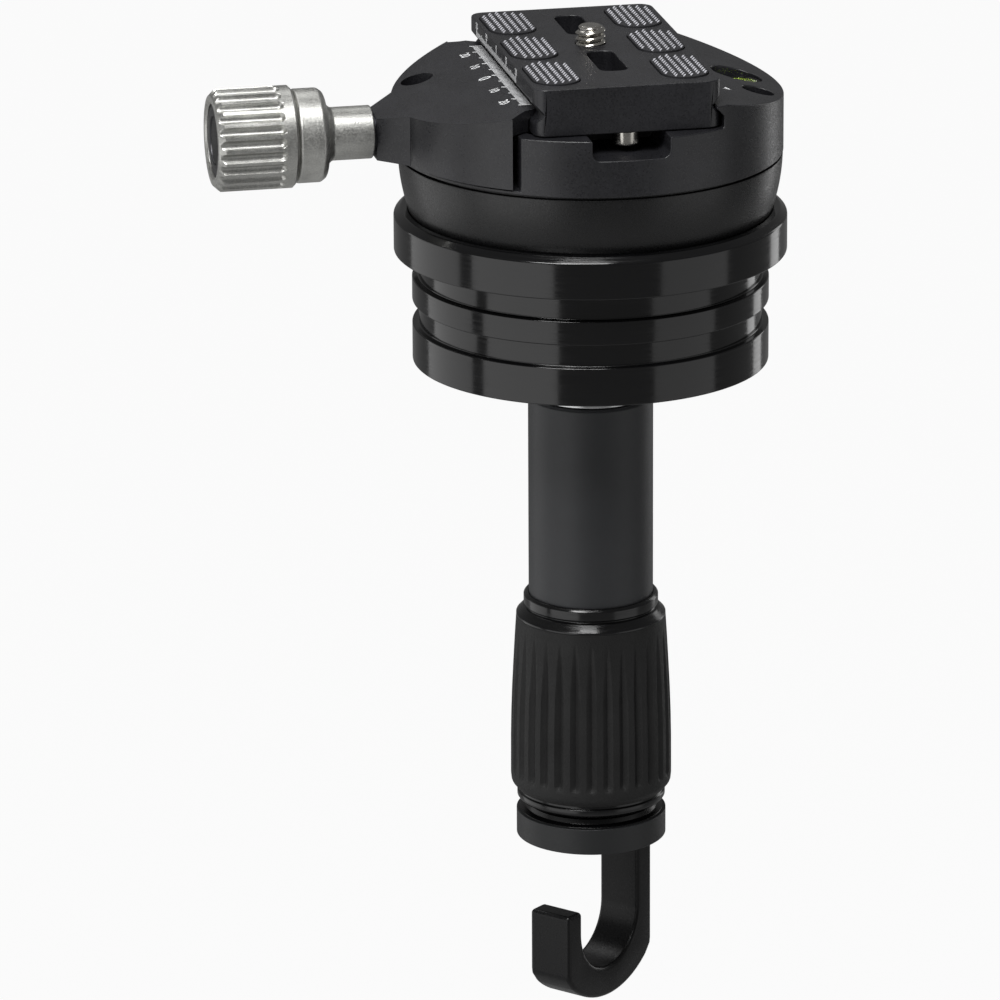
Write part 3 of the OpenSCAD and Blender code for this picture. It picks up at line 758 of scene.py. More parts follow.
@dataclass
class PressureWasher(Assembly):
    """The bright cup washer that the tube presses against the bowl's underside."""

    body: str = "thrust_cup"
    ball_z: float = 46.0
    seat_r: float = 46.0
    rim_r: float = 24.6
    rim_t: float = 2.4
    bore_r: float = 5.05
    hub_r: float = 12.7
    hub_low: float = -8.1
    hub_high: float = -6.5
    steps: int = 12

    def build(self) -> None:
        """Turns the washer from its hub up to its spherical face."""
        rim, bore = self.rim_r, self.bore_r
        across = [rim + (bore - rim) * i / self.steps for i in range(self.steps + 1)]
        face = [(radius, dish_z(self.ball_z, self.seat_r, radius)) for radius in across]
        section = [
            (bore, self.hub_low), (self.hub_r, self.hub_low), (self.hub_r, self.hub_high),
            (rim, dish_z(self.ball_z, self.seat_r, rim) - self.rim_t),
        ]
        self.lathe("cup_washer", section + face + section[:1], MACHINED, "pressure_washer", (0.2,))


@dataclass
class Column(Assembly):
    """The half ball, bored for the rod that runs through it."""

    body: str = "column"
    ball_z: float = 46.0
    ball_r: float = 40.5
    foot_z: float = 7.0
    flat_z: float = 45.5
    wall: float = 6.0
    pocket_top: float = 27.3
    pocket_floor: float = 13.3
    boss_r: float = 11.0
    boss_top: float = 26.0
    bore_r: float = 5.0
    mouth_r: float = 29.0
    seam_t: float = 0.45
    seam_in: float = 0.9

    def build(self) -> None:
        """Turns the half ball, open inside round its boss."""
        foot_r = math.sqrt(self.ball_r**2 - (self.ball_z - self.foot_z) ** 2)
        start = math.degrees(math.asin((self.foot_z - self.ball_z) / self.ball_r))
        end = math.degrees(math.asin((self.flat_z - self.ball_z) / self.ball_r))
        outside = arc((0.0, self.ball_z), self.ball_r, start, end, 48)
        seam = self.flat_z - self.seam_t
        rim = math.sqrt(self.ball_r**2 - (self.ball_z - seam) ** 2)
        outside = [point for point in outside if point[1] < seam - 0.05]
        outside += [(rim, seam), (rim - self.seam_in, seam), (rim - self.seam_in, self.flat_z)]
        inner = self.ball_r - self.wall
        low = math.degrees(math.asin((self.pocket_top - self.ball_z) / inner))
        floor = math.degrees(math.asin((self.pocket_floor - self.ball_z) / inner))
        pocket = arc((0.0, self.ball_z), inner, low, floor, 12)
        bore, boss_top = self.bore_r, self.boss_top
        section = [(bore, self.foot_z), (foot_r, self.foot_z), *outside[1:]]
        section += [(self.mouth_r, self.flat_z), *pocket]
        section += [(self.boss_r, boss_top), (bore, boss_top), (bore, self.foot_z)]
        self.lathe("ball_half", section, BALL_BLACK, "half_ball", (0.2, 2, 50), 256)


@dataclass
class ColumnTube(Assembly):
    """The tube between the bowl and the grip."""

    body: str = "tube"
    radius: float = 13.3
    bore: float = 11.5
    top: float = -8.3
    end: float = -66.2

    def build(self) -> None:
        """Turns the tube with its eased mouth."""
        section = [
            (self.bore, self.end), (self.radius, self.end), (self.radius, self.top - 0.5),
            (self.radius - 0.5, self.top), (self.bore, self.top), (self.bore, self.end),
        ]
        self.lathe("charcoal_tube", section, CHARCOAL, "column_tube", (0.12, 2))


@dataclass
class TwistGrip(Assembly):
    """The rubber grip and its rings, which screw up the rod to lock the ball."""

    body: str = "grip"
    bore: float = 14.9
    collar_bore: float = 13.35
    top: float = -57.4
    end: float = -96.0
    top_r: float = 16.0
    full_r: float = 17.25
    flutes: int = 30
    flute_start: float = 2.0
    flute_stop: float = 3.6
    flute_depth: float = 0.85

    def radius_at(self, z: float) -> float:
        """The grip's radius over its ribs at a height, in mm."""
        down = (self.top - z) / (self.top - self.end)
        knots = [
            (0.0, self.top_r), (0.13, 16.32), (0.29, 16.66), (0.43, 16.93),
            (0.57, 17.12), (0.71, 17.22), (0.93, 17.25), (0.965, 17.1), (1.0, self.top_r),
        ]
        for (a, ra), (b, rb) in zip(knots, knots[1:]):
            if down <= b:
                return ra + (rb - ra) * (down - a) / (b - a)
        return self.top_r

    def flute_at(self, turn: float, z: float) -> float:
        """How deep the flutes are at an angle and a height, in mm."""
        high, low = self.top - self.flute_start, self.end + self.flute_stop
        if not low < z < high:
            return 0.0
        taper = min(1.0, (high - z) / 13.0) ** 0.8
        round_end = math.sqrt(max(0.0, 1 - max(0.0, 1 - (z - low) / 1.6) ** 2))
        phase = (turn * self.flutes / (2 * math.pi)) % 1.0
        width = 0.1 + 0.2 * taper
        across = abs(phase - 0.5) / width
        groove = (1 - across) ** 0.85 if across < 1 else 0.0
        return self.flute_depth * taper * round_end * groove

    def build_sleeve(self) -> None:
        """Turns the sleeve and presses the flutes into it."""
        rows = 96
        outside = []
        for i in range(rows + 1):
            z = self.end + (self.top - self.end) * i / rows
            outside.append((self.radius_at(z), z))
        section = [(self.bore, self.end)] + outside + [(self.bore, self.top), (self.bore, self.end)]
        sleeve = turned("fluted_sleeve", section, self.flutes * 20)

        def press(point: Vector) -> Vector:
            """Moves a point of the outside in by the flute's depth there."""
            radius = math.hypot(point.x, point.y)
            if radius < self.bore + 0.5:
                return point
            turn = math.atan2(point.y, point.x) % (2 * math.pi)
            scale = (radius - self.flute_at(turn, point.z)) / radius
            return Vector((point.x * scale, point.y * scale, point.z))

        reshape(sleeve, press)
        take(sleeve)
        bpy.ops.object.shade_smooth_by_angle(angle=math.radians(40))
        self.place(sleeve, RUBBER, "grip_sleeve", ["grip_sleeve"])

    def build(self) -> None:
        """Turns the rings and the sleeve."""
        top, end, bore, rounding = self.top, self.end, self.collar_bore, (0.12, 3, 25)
        collar = [
            (bore, top), (16.0, top), (16.0, top + 0.5), (14.55, top + 2.0),
            (14.0, top + 2.15), (14.0, top + 2.45), (14.4, top + 2.7), (14.4, top + 4.6),
            (13.9, top + 5.2), (bore, top + 5.2), (bore, top),
        ]
        self.lathe("bead_collar", collar, RING_BLACK, "grip_collar", rounding)
        self.build_sleeve()
        ring = [
            (6.0, end - 2.6), (15.3, end - 2.6), (15.9, end - 2.0), (15.9, end - 0.9),
            (15.5, end - 0.6), (15.5, end), (6.0, end), (6.0, end - 2.6),
        ]
        self.lathe("grip_foot_ring", ring, RING_BLACK, "grip_end_ring", rounding)


@dataclass
class HangingHook(Assembly):
    """The end cap with the ballast hook."""

    body: str = "hook"
    cap_top: float = -101.2
    cap_end: float = -106.8
    cap_r: float = 16.05
    pocket_r: float = 13.0
    root_r: float = 15.0
    half_long: float = 15.4
    wide: float = 10.4
    thick: float = 5.0
    bend_z: float = -126.6
    foot_z: float = -143.7
    under_r: float = 20.2
    tip_z: float = -121.5
    tab_x: float = 6.8
    tab_t: float = 2.4
    turn: float = -138.0

    def swung(self, piece: Piece) -> Piece:
        """Turns a piece about the column to where the hook points."""
        piece.data.transform(Matrix.Rotation(math.radians(self.turn), 4, "Z"))
        return piece

    def build_cap(self) -> None:
        """Turns the cap, with its pocket for the hook's tab and the screw's recess."""
        top, end = self.cap_top, self.cap_end
        section = [
            (4.05, end + 1.85), (6.6, end + 1.85), (6.6, end), (self.cap_r, end),
            (self.cap_r, top), (self.pocket_r, top), (self.pocket_r, end + 2.5), (4.05, end + 2.5),
            (4.05, end + 1.85),
        ]
        cap = turned("hook_cap", section, 192)
        slot = block(
            "slot", (-self.root_r - 0.05, -self.wide / 2 - 0.05, end - 1),
            (-self.half_long + self.thick + 0.05, self.wide / 2 + 0.05, top + 1),
        )
        limit = drill(self.root_r + 0.05, 0, 0, end - 2, top + 2, 192)
        work(slot, [limit], Cut.KEEP)
        work(cap, [self.swung(slot)])
        soften(cap, 0.35, 3, 40)
        self.place(cap, CAP_BLACK, "end_cap", ["end_cap"])
        neck = [
            (5.05, top), (15.35, top), (15.35, top + 0.25), (14.1, top + 0.6),
            (13.8, top + 1.7), (5.05, top + 1.7), (5.05, top),
        ]
        # The neck's near-black finish is painted shade.
        self.lathe("cap_shoulder", neck, NECK_SHADE_BLACK, "cap_neck", (0.15,))

    def profile(self) -> list[Pair]:
        """The hook's outline below its root, seen square to its side, going round once."""
        hl, throat = self.half_long, self.half_long - self.thick
        arc_z = self.foot_z + self.under_r
        reach = math.degrees(math.asin(hl / self.under_r))
        under = [
            (
                self.under_r * math.sin(math.radians(t)),
                arc_z - self.under_r * math.cos(math.radians(t)),
            )
            for t in (reach * (i / 20 - 1) for i in range(41))
        ]
        inside = [
            (throat * math.cos(math.radians(t)), self.bend_z - throat * math.sin(math.radians(t)))
            for t in (180 * i / 36 for i in range(37))
        ]
        return [
            (-hl, self.cap_end - 0.05), *self.eased(under), (hl, self.tip_z), (throat, self.tip_z),
            *inside, (-throat, self.cap_end - 0.05),
        ]

    def eased(self, under: list[Pair]) -> list[Pair]:
        """Rounds the two corners where the underside meets the sides."""
        first, last = under[0], under[-1]
        corner = [(first[0], first[1] + 1.5), (first[0] + 0.18, first[1] + 0.25)]
        mirrored = [(-x, z) for x, z in reversed(corner)]
        middle = [(x, z) for x, z in under if abs(x) < abs(last[0]) - 1.2]
        return [*corner, *middle, *mirrored]

    def build(self) -> None:
        """Forges the hook to its outline and hangs it in the cap."""
        self.build_cap()
        outline = self.profile()
        hook = prism("ballast_j_hook", outline, -self.wide / 2, self.wide / 2, across=True)
        soften(hook, 0.95, 5, 50)
        tab_z = self.cap_end + 2.5
        root = block(
            "root", (-self.half_long, -self.wide / 2, self.cap_end - 1),
            (-self.half_long + self.thick, self.wide / 2, tab_z + 1),
        )
        far = (self.tab_x, self.wide / 2, tab_z + self.tab_t)
        tab = block("tab", (-self.half_long, -self.wide / 2, tab_z), far)
        work(root, [tab], Cut.JOIN)
        limit = drill(self.root_r, 0, 0, self.cap_end - 3, tab_z + 5, 192)
        work(root, [limit], Cut.KEEP)
        work(root, [drill(4.05, 0, 0, tab_z - 1, tab_z + 4)])
        work(hook, [root], Cut.JOIN)
        self.swung(hook)
        self.place(hook, HOOK_BLACK, "ballast_hook", ["ballast_hook"])


@dataclass
class Clamp(Assembly):
    """The disc that carries the fixed jaw, the vial and the lock screws."""

    body: str = "column"
    disc_r: float = 40.6
    low: float = 45.5
    floor: float = 57.6
    lip: float = 62.4
    slope: float = 14.5
    slope_start: float = 20.95
    split: float = -22.15
    ledge: float = 0.9
    plate_x: float = 0.5
    knob_z: float = 51.8
    pin_y: float = 14.0
    dowel_y: float = 34.0
    dowel_r: float = 1.5
    bolt_head_r: float = 6.7
    bolt_r: float = 3.05
    screw_head_r: float = 3.4
    screw_r: float = 2.05
    vial_r: float = 5.5
    vial_floor: float = 54.6
    vial_x: float = 31.4
    body_screws: tuple[Pair, ...] = ((33.0, -13.0), (-16.5, 28.6), (-16.5, -28.6))

    def jaw_air(self, foot_x: float, low: float, under: float) -> list[Pair]:
        """The section, in X and Z, of all that the jaw on the +X side is not."""
        far, fall = 122.0, math.tan(math.radians(self.slope))
        return [
            (-far, low), (foot_x, low), (foot_x, under), (20.1, under), (20.1, self.floor + 2.6),
            (18.317, 61.983), (18.317, self.lip), (self.slope_start, self.lip),
            (far, self.lip - (far - self.slope_start) * fall), (far, 87.0), (-far, 87.0),
        ]

    def notch(self, side: int) -> Piece:
        """The cutter for a stop screw's notch, with its lower corners round."""
        wide, depth, corner = 8.2, 4.2, 1.6
        outline = [(-wide, 60.0)]
        outline += arc((-wide + corner, self.floor - depth + corner), corner, 180, 270, 6)
        outline += arc((wide - corner, self.floor - depth + corner), corner, 270, 360, 6)
        outline += [(wide, 60.0)]
        ends = (23.5, 45.0) if side > 0 else (-45.0, -23.5)
        return prism("notch", outline, *ends, across=True)

    def build_body(self) -> None:
        """Machines the disc from a round blank."""
        body = turned("clamp_disc", [(self.disc_r, self.low), (self.disc_r, self.lip)], 256)
        air = [(x + self.plate_x, z) for x, z in self.jaw_air(20.1, self.floor, self.floor + 1)]
        tools = [
            prism("air", air, -60, 60, across=True),
            block("split", (-60, -60, self.low + self.ledge), (self.split, 60, 90)), self.notch(1),
            self.notch(-1),
        ]
        x, z = self.split, self.knob_z
        for side in (-1, 1):
            y, dowel_y = side * self.pin_y, side * self.dowel_y
            tools.append(rod("pin_hole", 2.05, (x - 1, y, z), (x + 9, y, z)))
            tools.append(rod("spring_hole", 3.3, (x - 1, y, z), (x + 6, y, z)))
            tools.append(drill(self.dowel_r, 0, dowel_y, 44, 48.5, 32))
        tools.append(rod("insert", 5.0, (x - 1, 0, z), (x + 11, 0, z)))
        tools.append(rod("thread", 3.3, (x - 1, 0, z), (-6, 0, z)))
        tools.append(drill(self.bolt_head_r, 0, 0, 51.9, 58.6))
        tools.append(drill(self.bolt_r, 0, 0, 44, 53))
        for at_x, at_y in self.body_screws:
            tools.append(drill(self.screw_head_r, at_x, at_y, 50.2, 80))
            tools.append(drill(self.screw_r, at_x, at_y, 44, 52))
        tools.append(drill(self.vial_r, self.vial_x, 0, self.vial_floor, 80, 96))
        work(body, tools)
        soften(body, 0.3, 3, 33, careful=False)
        self.place(body, SATIN_BLACK, "clamp_body", ["clamp_body"])

    def build_mark(self) -> None:
        """Sets the small index triangle beside the vial."""
        fall = math.radians(self.slope)
        x = 25.2
        z = self.lip - (x - self.plate_x - self.slope_start) * math.tan(fall)
        mark = prism("index_triangle", [(-0.95, -0.8), (0.95, -0.8), (0.0, 0.9)], -0.01, 0.015)
        mark.matrix_world = Matrix.Translation(Vector((x, -17.5, z)) * MM) @ Matrix.Rotation(
            fall, 4, "Y"
        )
        settle(mark)
        self.place(mark, LASER_MARK, "clamp_body")

    def build(self) -> None:
        """Machines the disc and marks it."""
        self.build_body()
        self.build_mark()


@dataclass
class LevelVial(Assembly):
    """The round level vial let into the fixed jaw."""

    body: str = "column"
    x: float = 31.4
    floor: float = 54.6
    top: float = 57.9

    def build(self) -> None:
        """Turns the case, its white lining, the lens, the spirit and the bubble."""
        floor, top, at = self.floor, self.top, {"segments": 96, "centre": (self.x, 0, 0)}
        inside, low = floor + 0.5, floor + 0.55
        case = [
            (0.6, floor), (5.4, floor), (5.4, top), (4.75, top), (4.75, inside), (0.6, inside),
            (0.6, floor),
        ]
        self.lathe("vial_cup", case, DARK_PLASTIC, "vial_case", (0.08, 2), **at)
        lining = [
            (0.4, inside), (4.74, inside), (4.74, top - 0.9), (4.71, top - 0.9),
            (4.71, floor + 0.54), (0.4, floor + 0.54), (0.4, inside),
        ]
        self.lathe("vial_back", lining, VIAL_WHITE, "vial_case", stands=False, **at)
        lens = [(4.7, low), (4.7, top - 0.1), (4.2, top), (0.4, top)]
        self.lathe("vial_lens", lens, ACRYLIC, "vial_glass", (0.1, 2), **at)
        spirit = [(4.05, low + 0.6), (4.05, low + 2.25), (3.6, low + 2.4)]
        self.lathe("vial_spirit", spirit, SPIRIT, "vial_fluid", **at)
        bubble = [(0.5, low + 1.35), (1.2, low + 1.45), (1.55, low + 1.75), (1.4, low + 2.05)]
        aside = (self.x - 0.6, 0.4, 0)
        self.lathe("vial_air", bubble, AIR, "vial_bubble", segments=64, centre=aside)


@dataclass
class MovingJaw(Assembly):
    """The sliding jaw with its scale."""

    body: str = "jaw"
    arc_r: float = 40.6
    shift: float = -1.3
    low: float = 46.7
    boss_x: float = -46.5
    clamp: Clamp = field(default_factory=Clamp)

    def on_slope(self, out: float, y: float) -> Matrix:
        """The place of a mark on the jaw's top, with X along +Y and Y up the slope.

        Args:
            out: distance from the lip's edge, in mm.
            y: place along the channel, in mm.

        Returns:
            The matrix that puts a mark there.
        """
        fall = math.radians(self.clamp.slope)
        edge, knee = -17.817, self.clamp.plate_x - self.clamp.slope_start
        x = edge - out
        if x > knee:
            tilt, z = 0.0, self.clamp.lip
        else:
            tilt, z = fall, self.clamp.lip - (knee - x) * math.tan(fall)
        right = Vector((0, -1, 0))
        up = Vector((math.cos(tilt), 0, math.sin(tilt)))
        out_of = right.cross(up)
        turn = Matrix((right, up, out_of)).transposed().to_4x4()
        return Matrix.Translation(Vector((x, y, z)) * MM) @ turn

    def build_scale(self) -> None:
        """Marks the jaw with a millimetre scale and its numbers."""
        marks = []
        for step in range(-25, 26):
            reach = by_rank(step, 3.1, 2.7, 2.2)
            tick = block("tick", (-TICK_HALF, -reach, -MARK_SINK), (TICK_HALF, 0.0, MARK_LIFT))
            tick.data.transform(self.on_slope(0.15, float(step)))
            marks.append(tick)
        for step in range(-20, 21, 10):
            size = 2.0 if step else 2.7
            marks.append(numeral(str(abs(step)), size, self.on_slope(4.9, float(step)), "number"))
        scale = join("jaw_scale", marks)
        self.place(scale, LASER_MARK, "moving_jaw")

    def build(self) -> None:
        """Machines the jaw and marks its scale."""
        lip = self.clamp.lip
        blank = [(self.arc_r, self.low), (self.arc_r, lip)]
        jaw = turned("sliding_jaw", blank, 256, centre=(self.shift, 0, 0))
        boss = prism(
            "boss",
            [
                (self.boss_x, -4.5), (self.boss_x, 4.5), (-40.6, 10.4), (-27.75, 10.6),
                (-27.75, -10.6), (-40.6, -10.4),
            ],
            self.low, lip,
        )
        work(jaw, [boss], Cut.JOIN)
        air = [
            (self.clamp.plate_x - x, z)
            for x, z in self.clamp.jaw_air(24.25, self.low - 1, self.clamp.floor + 0.3)
        ]
        z, well_x, well_y = self.clamp.knob_z, -34.3, self.clamp.pin_y
        tools = [
            prism("air", air, -60, 60, across=True),
            rod("screw_hole", 3.05, (-60, 0, z), (-10, 0, z)), drill(3.4, well_x, well_y, 55.0, 80),
            drill(2.0, well_x, well_y, z, 60),
        ]
        face = -23.75
        for side in (-1, 1):
            tools.append(rod("pin", 2.0, (-34.75, side * well_y, z), (-20, side * well_y, z)))
            plan = [
                (face, 33.0), (face + 2.2, 31.0), (face + 6.8, 28.0), (0.0, 28.0), (0.0, 80.0),
                (face, 80.0),
            ]
            tools.append(prism("end", [(u, side * v) for u, v in plan][::side], 40, 90))
        work(jaw, tools)
        soften(jaw, 0.45, 4, 20)
        self.place(jaw, SATIN_BLACK, "moving_jaw", ["moving_jaw"])
        self.build_scale()


@dataclass
class Knob(Assembly):
    """The fluted clamping knob."""

    body: str = "knob"
    z: float = 51.8
    barrel_start: float = -63.9
    barrel_end: float = -80.7
    barrel_r: float = 10.75
    flutes: int = 24
    flute_depth: float = 0.95
    flute_half_wide: float = 1.0
    band: float = 2.7

    def flute_at(self, turn: float, x: float) -> float:
        """How deep the flutes are at an angle and a place along the knob, in mm."""
        stop = self.barrel_start - self.band - self.flute_half_wide
        phase = (turn * self.flutes / (2 * math.pi)) % 1.0
        pitch = 2 * math.pi * self.barrel_r / self.flutes
        aside = abs(phase - 0.5) * pitch
        away = math.hypot(aside, max(0.0, x - stop)) / self.flute_half_wide
        return self.flute_depth * (1 - away**2) ** 0.6 if away < 1 else 0.0

    def build_barrel(self) -> None:
        """Turns the barrel and cuts its flutes."""
        start, end, full = self.barrel_start, self.barrel_end, self.barrel_r
        rows = 56
        outside = [
            (full, end + 1.3 + (start - 0.5 - end - 1.3) * i / rows) for i in range(rows + 1)
        ]
        section = [(7.75, end + 2.2), (7.75, end + 0.4), (8.1, end), (9.5, end)]
        section += [(9.5 + (full - 9.5) * i / 4, end + 1.3 * i / 4) for i in (1, 2, 3)]
        section += outside + [(full - 0.5, start), (6.65, start), (6.65, end + 2.2)]
        section += [(7.75, end + 2.2)]
        barrel = turned("fluted_barrel", section, self.flutes * 24, Axis.ALONG_CLAMP, (0, 0, self.z))

        def mill(point: Vector) -> Vector:
            """Moves a point of the barrel's skin in by the flute's depth there."""
            up = point.z - self.z
            radius = math.hypot(point.y, up)
            limit = full - self.flute_at(math.atan2(up, point.y) % (2 * math.pi), point.x)
            if radius <= limit or radius < 9.6:
                return point
            scale = limit / radius
            return Vector((point.x, point.y * scale, self.z + up * scale))

        reshape(barrel, mill)
        take(barrel)
        bpy.ops.object.shade_smooth_by_angle(angle=math.radians(34))
        self.place(barrel, BLASTED, "knob_sleeve", ["knob_sleeve"])

    def build(self) -> None:
        """Turns the hub, the barrel and the plug."""
        lie = {"axis": Axis.ALONG_CLAMP, "centre": (0, 0, self.z)}
        hub = [
            (3.0, -78.5), (6.6, -78.5), (6.6, -63.9), (9.0, -63.9), (9.9, -63.2),
            (9.9, -58.3), (9.1, -57.2), (6.9, -57.0), (5.6, -55.6), (5.6, -47.0),
            (3.0, -47.0), (3.0, -78.5),
        ]
        self.lathe("knob_neck", hub, BLASTED, "knob_hub", (0.3, 3, 20), 160, **lie)
        self.build_barrel()
        plug = [
            (1.2, -78.7), (1.2, -79.2), (5.0, -79.2), (5.2, -80.2), (7.3, -80.2),
            (7.6, -79.9), (7.6, -78.7), (1.2, -78.7),
        ]
        self.lathe("plug_ring", plug, RING_SHADE, "knob_plug", (0.12, 3, 25), 128, **lie)
        dish = [(5.0, -79.25), (5.0, -79.9), (4.4, -79.85), (3.0, -79.55), (0.6, -79.4)]
        self.lathe("plug_dish", dish, DARK_PLASTIC, "knob_plug", (0.08, 2, 25), 96, False, **lie)


@dataclass
class QuickPlate(Assembly):
    """The quick-release plate with its pads, slots, stop screws and scale."""

    body: str = "plate"
    x: float = 0.5
    y: float = -1.2
    half_wide: float = 19.75
    long: float = 67.7
    low: float = 57.8
    top: float = 67.8
    groove_z: float = 62.4
    groove: float = 2.1
    corner: float = 3.0
    screw_y: float = 2.0
    stop_inset: float = 3.35
    scale_y: float = 4.2
    slot_wide: float = 5.9
    slot_corner: float = 2.05
    slots: tuple[Pair, ...] = ((-22.1, -5.2), (9.4, 26.0))
    pad_step: float = 21.8
    pad_wide: float = 9.8
    pad_long: float = 19.2
    rib_rows: int = 13
    rib_columns: int = 6
    rib_pitch_x: float = 1.62
    rib_pitch_y: float = 1.4
    rib_lean: float = 24.0

    def pad_places(self) -> list[Pair]:
        """The middles of the six pads."""
        reach = self.half_wide - 1.3 - self.pad_wide / 2
        return [
            (self.x + side * reach, self.y + 1 + row * self.pad_step)
            for side in (-1, 1)
            for row in (-1, 0, 1)
        ]

    def build_plate(self) -> None:
        """Mills the plate from a bar with rounded corners."""
        hw, gz, g = self.half_wide, self.groove_z, self.groove
        outline = rounded_outline(2 * hw, self.long, self.corner, (self.x, self.y))
        plate = prism("dovetail_plate", outline, self.low, self.top)
        vee = [(hw + 3, gz - g - 3), (hw - g, gz), (hw + 3, gz + g + 3)]
        tools = [
            prism("vee", [(self.x + s * u, v) for u, v in vee], -60, 60, across=True)
            for s in (-1, 1)
        ]
        for low_y, high_y in self.slots:
            middle = (self.x, (low_y + high_y) / 2)
            slot = rounded_outline(self.slot_wide, high_y - low_y, self.slot_corner, middle)
            tools.append(prism("slot", slot, 50, 80))
        for at_x, at_y in self.pad_places():
            seat = rounded_outline(self.pad_wide + 0.2, self.pad_long + 0.2, 4.9, (at_x, at_y))
            tools.append(prism("pad_seat", seat, self.top - 0.8, 80))
        for radius, high in ((6.8, 61.1), (5.1, 62.1), (3.225, 80)):
            tools.append(drill(radius, self.x, self.screw_y, 50, high, 96))
        for side in (-1, 1):
            at_y = self.y + side * (self.long / 2 - self.stop_inset)
            tools.append(drill(1.5, self.x, at_y, 50, 63.8, 32))
        work(plate, tools)
        soften(plate, 0.3, 3, 33, careful=False)
        self.place(plate, SATIN_BLACK, "quick_release_plate", ["quick_release_plate"])

    def build_pads(self) -> None:
        """Moulds the six pads and the slanting ribs on them."""
        base = []
        ribs = []
        reach_x, reach_y, corner = self.pad_wide / 2 - 0.4, self.pad_long / 2 - 0.8, 3.9
        rib = block("rib", (-0.17, -0.85, 68.08), (0.17, 0.85, 68.2))
        rib.data.transform(Matrix.Rotation(math.radians(-self.rib_lean), 4, "Z"))
        for at_x, at_y in self.pad_places():
            outline = rounded_outline(self.pad_wide, self.pad_long, 4.8, (at_x, at_y))
            base.append(soften(prism("pad", outline, 67.0, 68.1), 0.15, 2))
            places = []
            for row in range(self.rib_rows):
                for column in range(self.rib_columns):
                    dx = (column - (self.rib_columns - 1) / 2) * self.rib_pitch_x
                    dy = (row - (self.rib_rows - 1) / 2) * self.rib_pitch_y
                    dy += self.rib_pitch_y / 3 if column % 2 else 0.0
                    over_x = max(0.0, abs(dx) - (reach_x - corner))
                    over_y = max(0.0, abs(dy) - (reach_y - corner))
                    within = abs(dx) < reach_x and abs(dy) < reach_y
                    if within and math.hypot(over_x, over_y) < corner:
                        places.append((at_x + dx, at_y + dy, 0.0))
            ribs += copy_to(rib, places)
        bpy.data.objects.remove(rib)
        pads = join("rubber_pads", base)
        self.place(pads, PAD_RUBBER, "plate_pads", ["plate_pads"])
        # The ribs' pale colour is a painted highlight on their tops.
        self.place(join("pad_ribs", ribs), RIB_TOP_HIGHLIGHT, "plate_pads")

    def build_scale(self) -> None:
        """Marks the plate's side with its own scale."""
        marks = []
        face = self.x - self.half_wide
        turn = Matrix(((0, -1, 0), (0, 0, 1), (-1, 0, 0))).transposed().to_4x4()
        for step in range(-20, 21):
            rise = by_rank(step, 1.75, 1.4, 1.1)
            y, foot = self.scale_y + step, self.groove_z + self.groove + 0.25
            low = (face - MARK_LIFT, y - TICK_HALF, foot)
            high = (face + 0.02, y + TICK_HALF, foot + rise)
            marks.append(block("tick", low, high))
        for step in range(-20, 21, 10):
            place = Matrix.Translation(Vector((face, self.scale_y + step, 66.95)) * MM) @ turn
            marks.append(numeral(str(abs(step)), 1.35, place, "number"))
        self.place(join("plate_scale", marks), LASER_MARK, "quick_release_plate")

    def build_stops(self) -> None:
        """Turns the two stop screws, each with a six-sided socket."""
        stops = []
        for side in (-1, 1):
            at_y = self.y + side * (self.long / 2 - self.stop_inset)
            stop = turned(
                "stop", [(2.6, 54.8), (3.0, 55.2), (3.0, 57.75), (1.45, 57.8), (1.45, 62.5)],
                64, centre=(self.x, at_y, 0),
            )
            work(stop, [drill(1.3, self.x, at_y, 54, 56.3, 6)])
            stops.append(soften(stop, 0.12, 2))
        self.place(join("stop_pins", stops), BRIGHT_STEEL, "stop_screws", ["stop_screws"])

    def build(self) -> None:
        """Builds the plate, its pads, its scale and its stops."""
        self.build_plate()
        self.build_pads()
        self.build_scale()
        self.build_stops()


@dataclass
class CameraScrew(Assembly):
    """The threaded screw that holds a camera on the plate."""

    body: str = "camera_screw"
    x: float = 0.5
    y: float = 2.0
    major_r: float = 3.17
    minor_r: float = 2.55
    pitch: float = 1.27
    low: float = 66.2
    top: float = 71.6

    def build(self) -> None:
        """Turns the head and neck and winds the thread."""
        head = turned(
            "screw_head",
            [(6.5, 58.3), (6.5, 61.1), (2.5, 61.1), (2.5, self.top - 0.35), (2.1, self.top)],
            96, centre=(self.x, self.y, 0),
        )
        work(head, [block("coin_slot", (-7, 1.2, 58), (8, 2.8, 59.7))])
        soften(head, 0.2, 3)
        thread = self.wind()
        screw = join("quarter_inch_screw", [head, thread])
        self.place(screw, BRIGHT_STEEL, "camera_screw", ["camera_screw"])

    def wind(self) -> Piece:
        """Winds one tooth's section up the screw.

        Returns:
            The thread's ridge.
        """
        half = self.pitch / 2
        section = [
            (self.minor_r - 0.2, -half), (self.minor_r, -half * 0.92), (self.major_r - 0.06, -0.12),
            (self.major_r, 0.0), (self.major_r - 0.06, 0.12), (self.minor_r, half * 0.92),
            (self.minor_r - 0.2, half),
        ]
        ridge = trace([Vector((r, 0, z + self.low + half)) * MM for r, z in section])
        bpy.ops.object.mode_set(mode="OBJECT")
        settle(ridge, "thread")
        turns = (self.top - self.low - self.pitch - 0.25) / self.pitch
        steps = 48
        wound = ridge.modifiers.new("helix", "SCREW")
        wound.angle, wound.screw_offset = 2 * math.pi * turns, self.pitch * turns * MM
        wound.steps = wound.render_steps = int(steps * turns)
        wound.use_merge_vertices = False
        take(ridge)
        bpy.ops.object.modifier_apply(modifier=wound.name)
        tidy_mesh(ridge)
        bpy.ops.object.shade_smooth_by_angle(angle=math.radians(50))
        ridge.data.transform(Matrix.Translation(Vector((self.x, self.y, 0)) * MM))
        return ridge


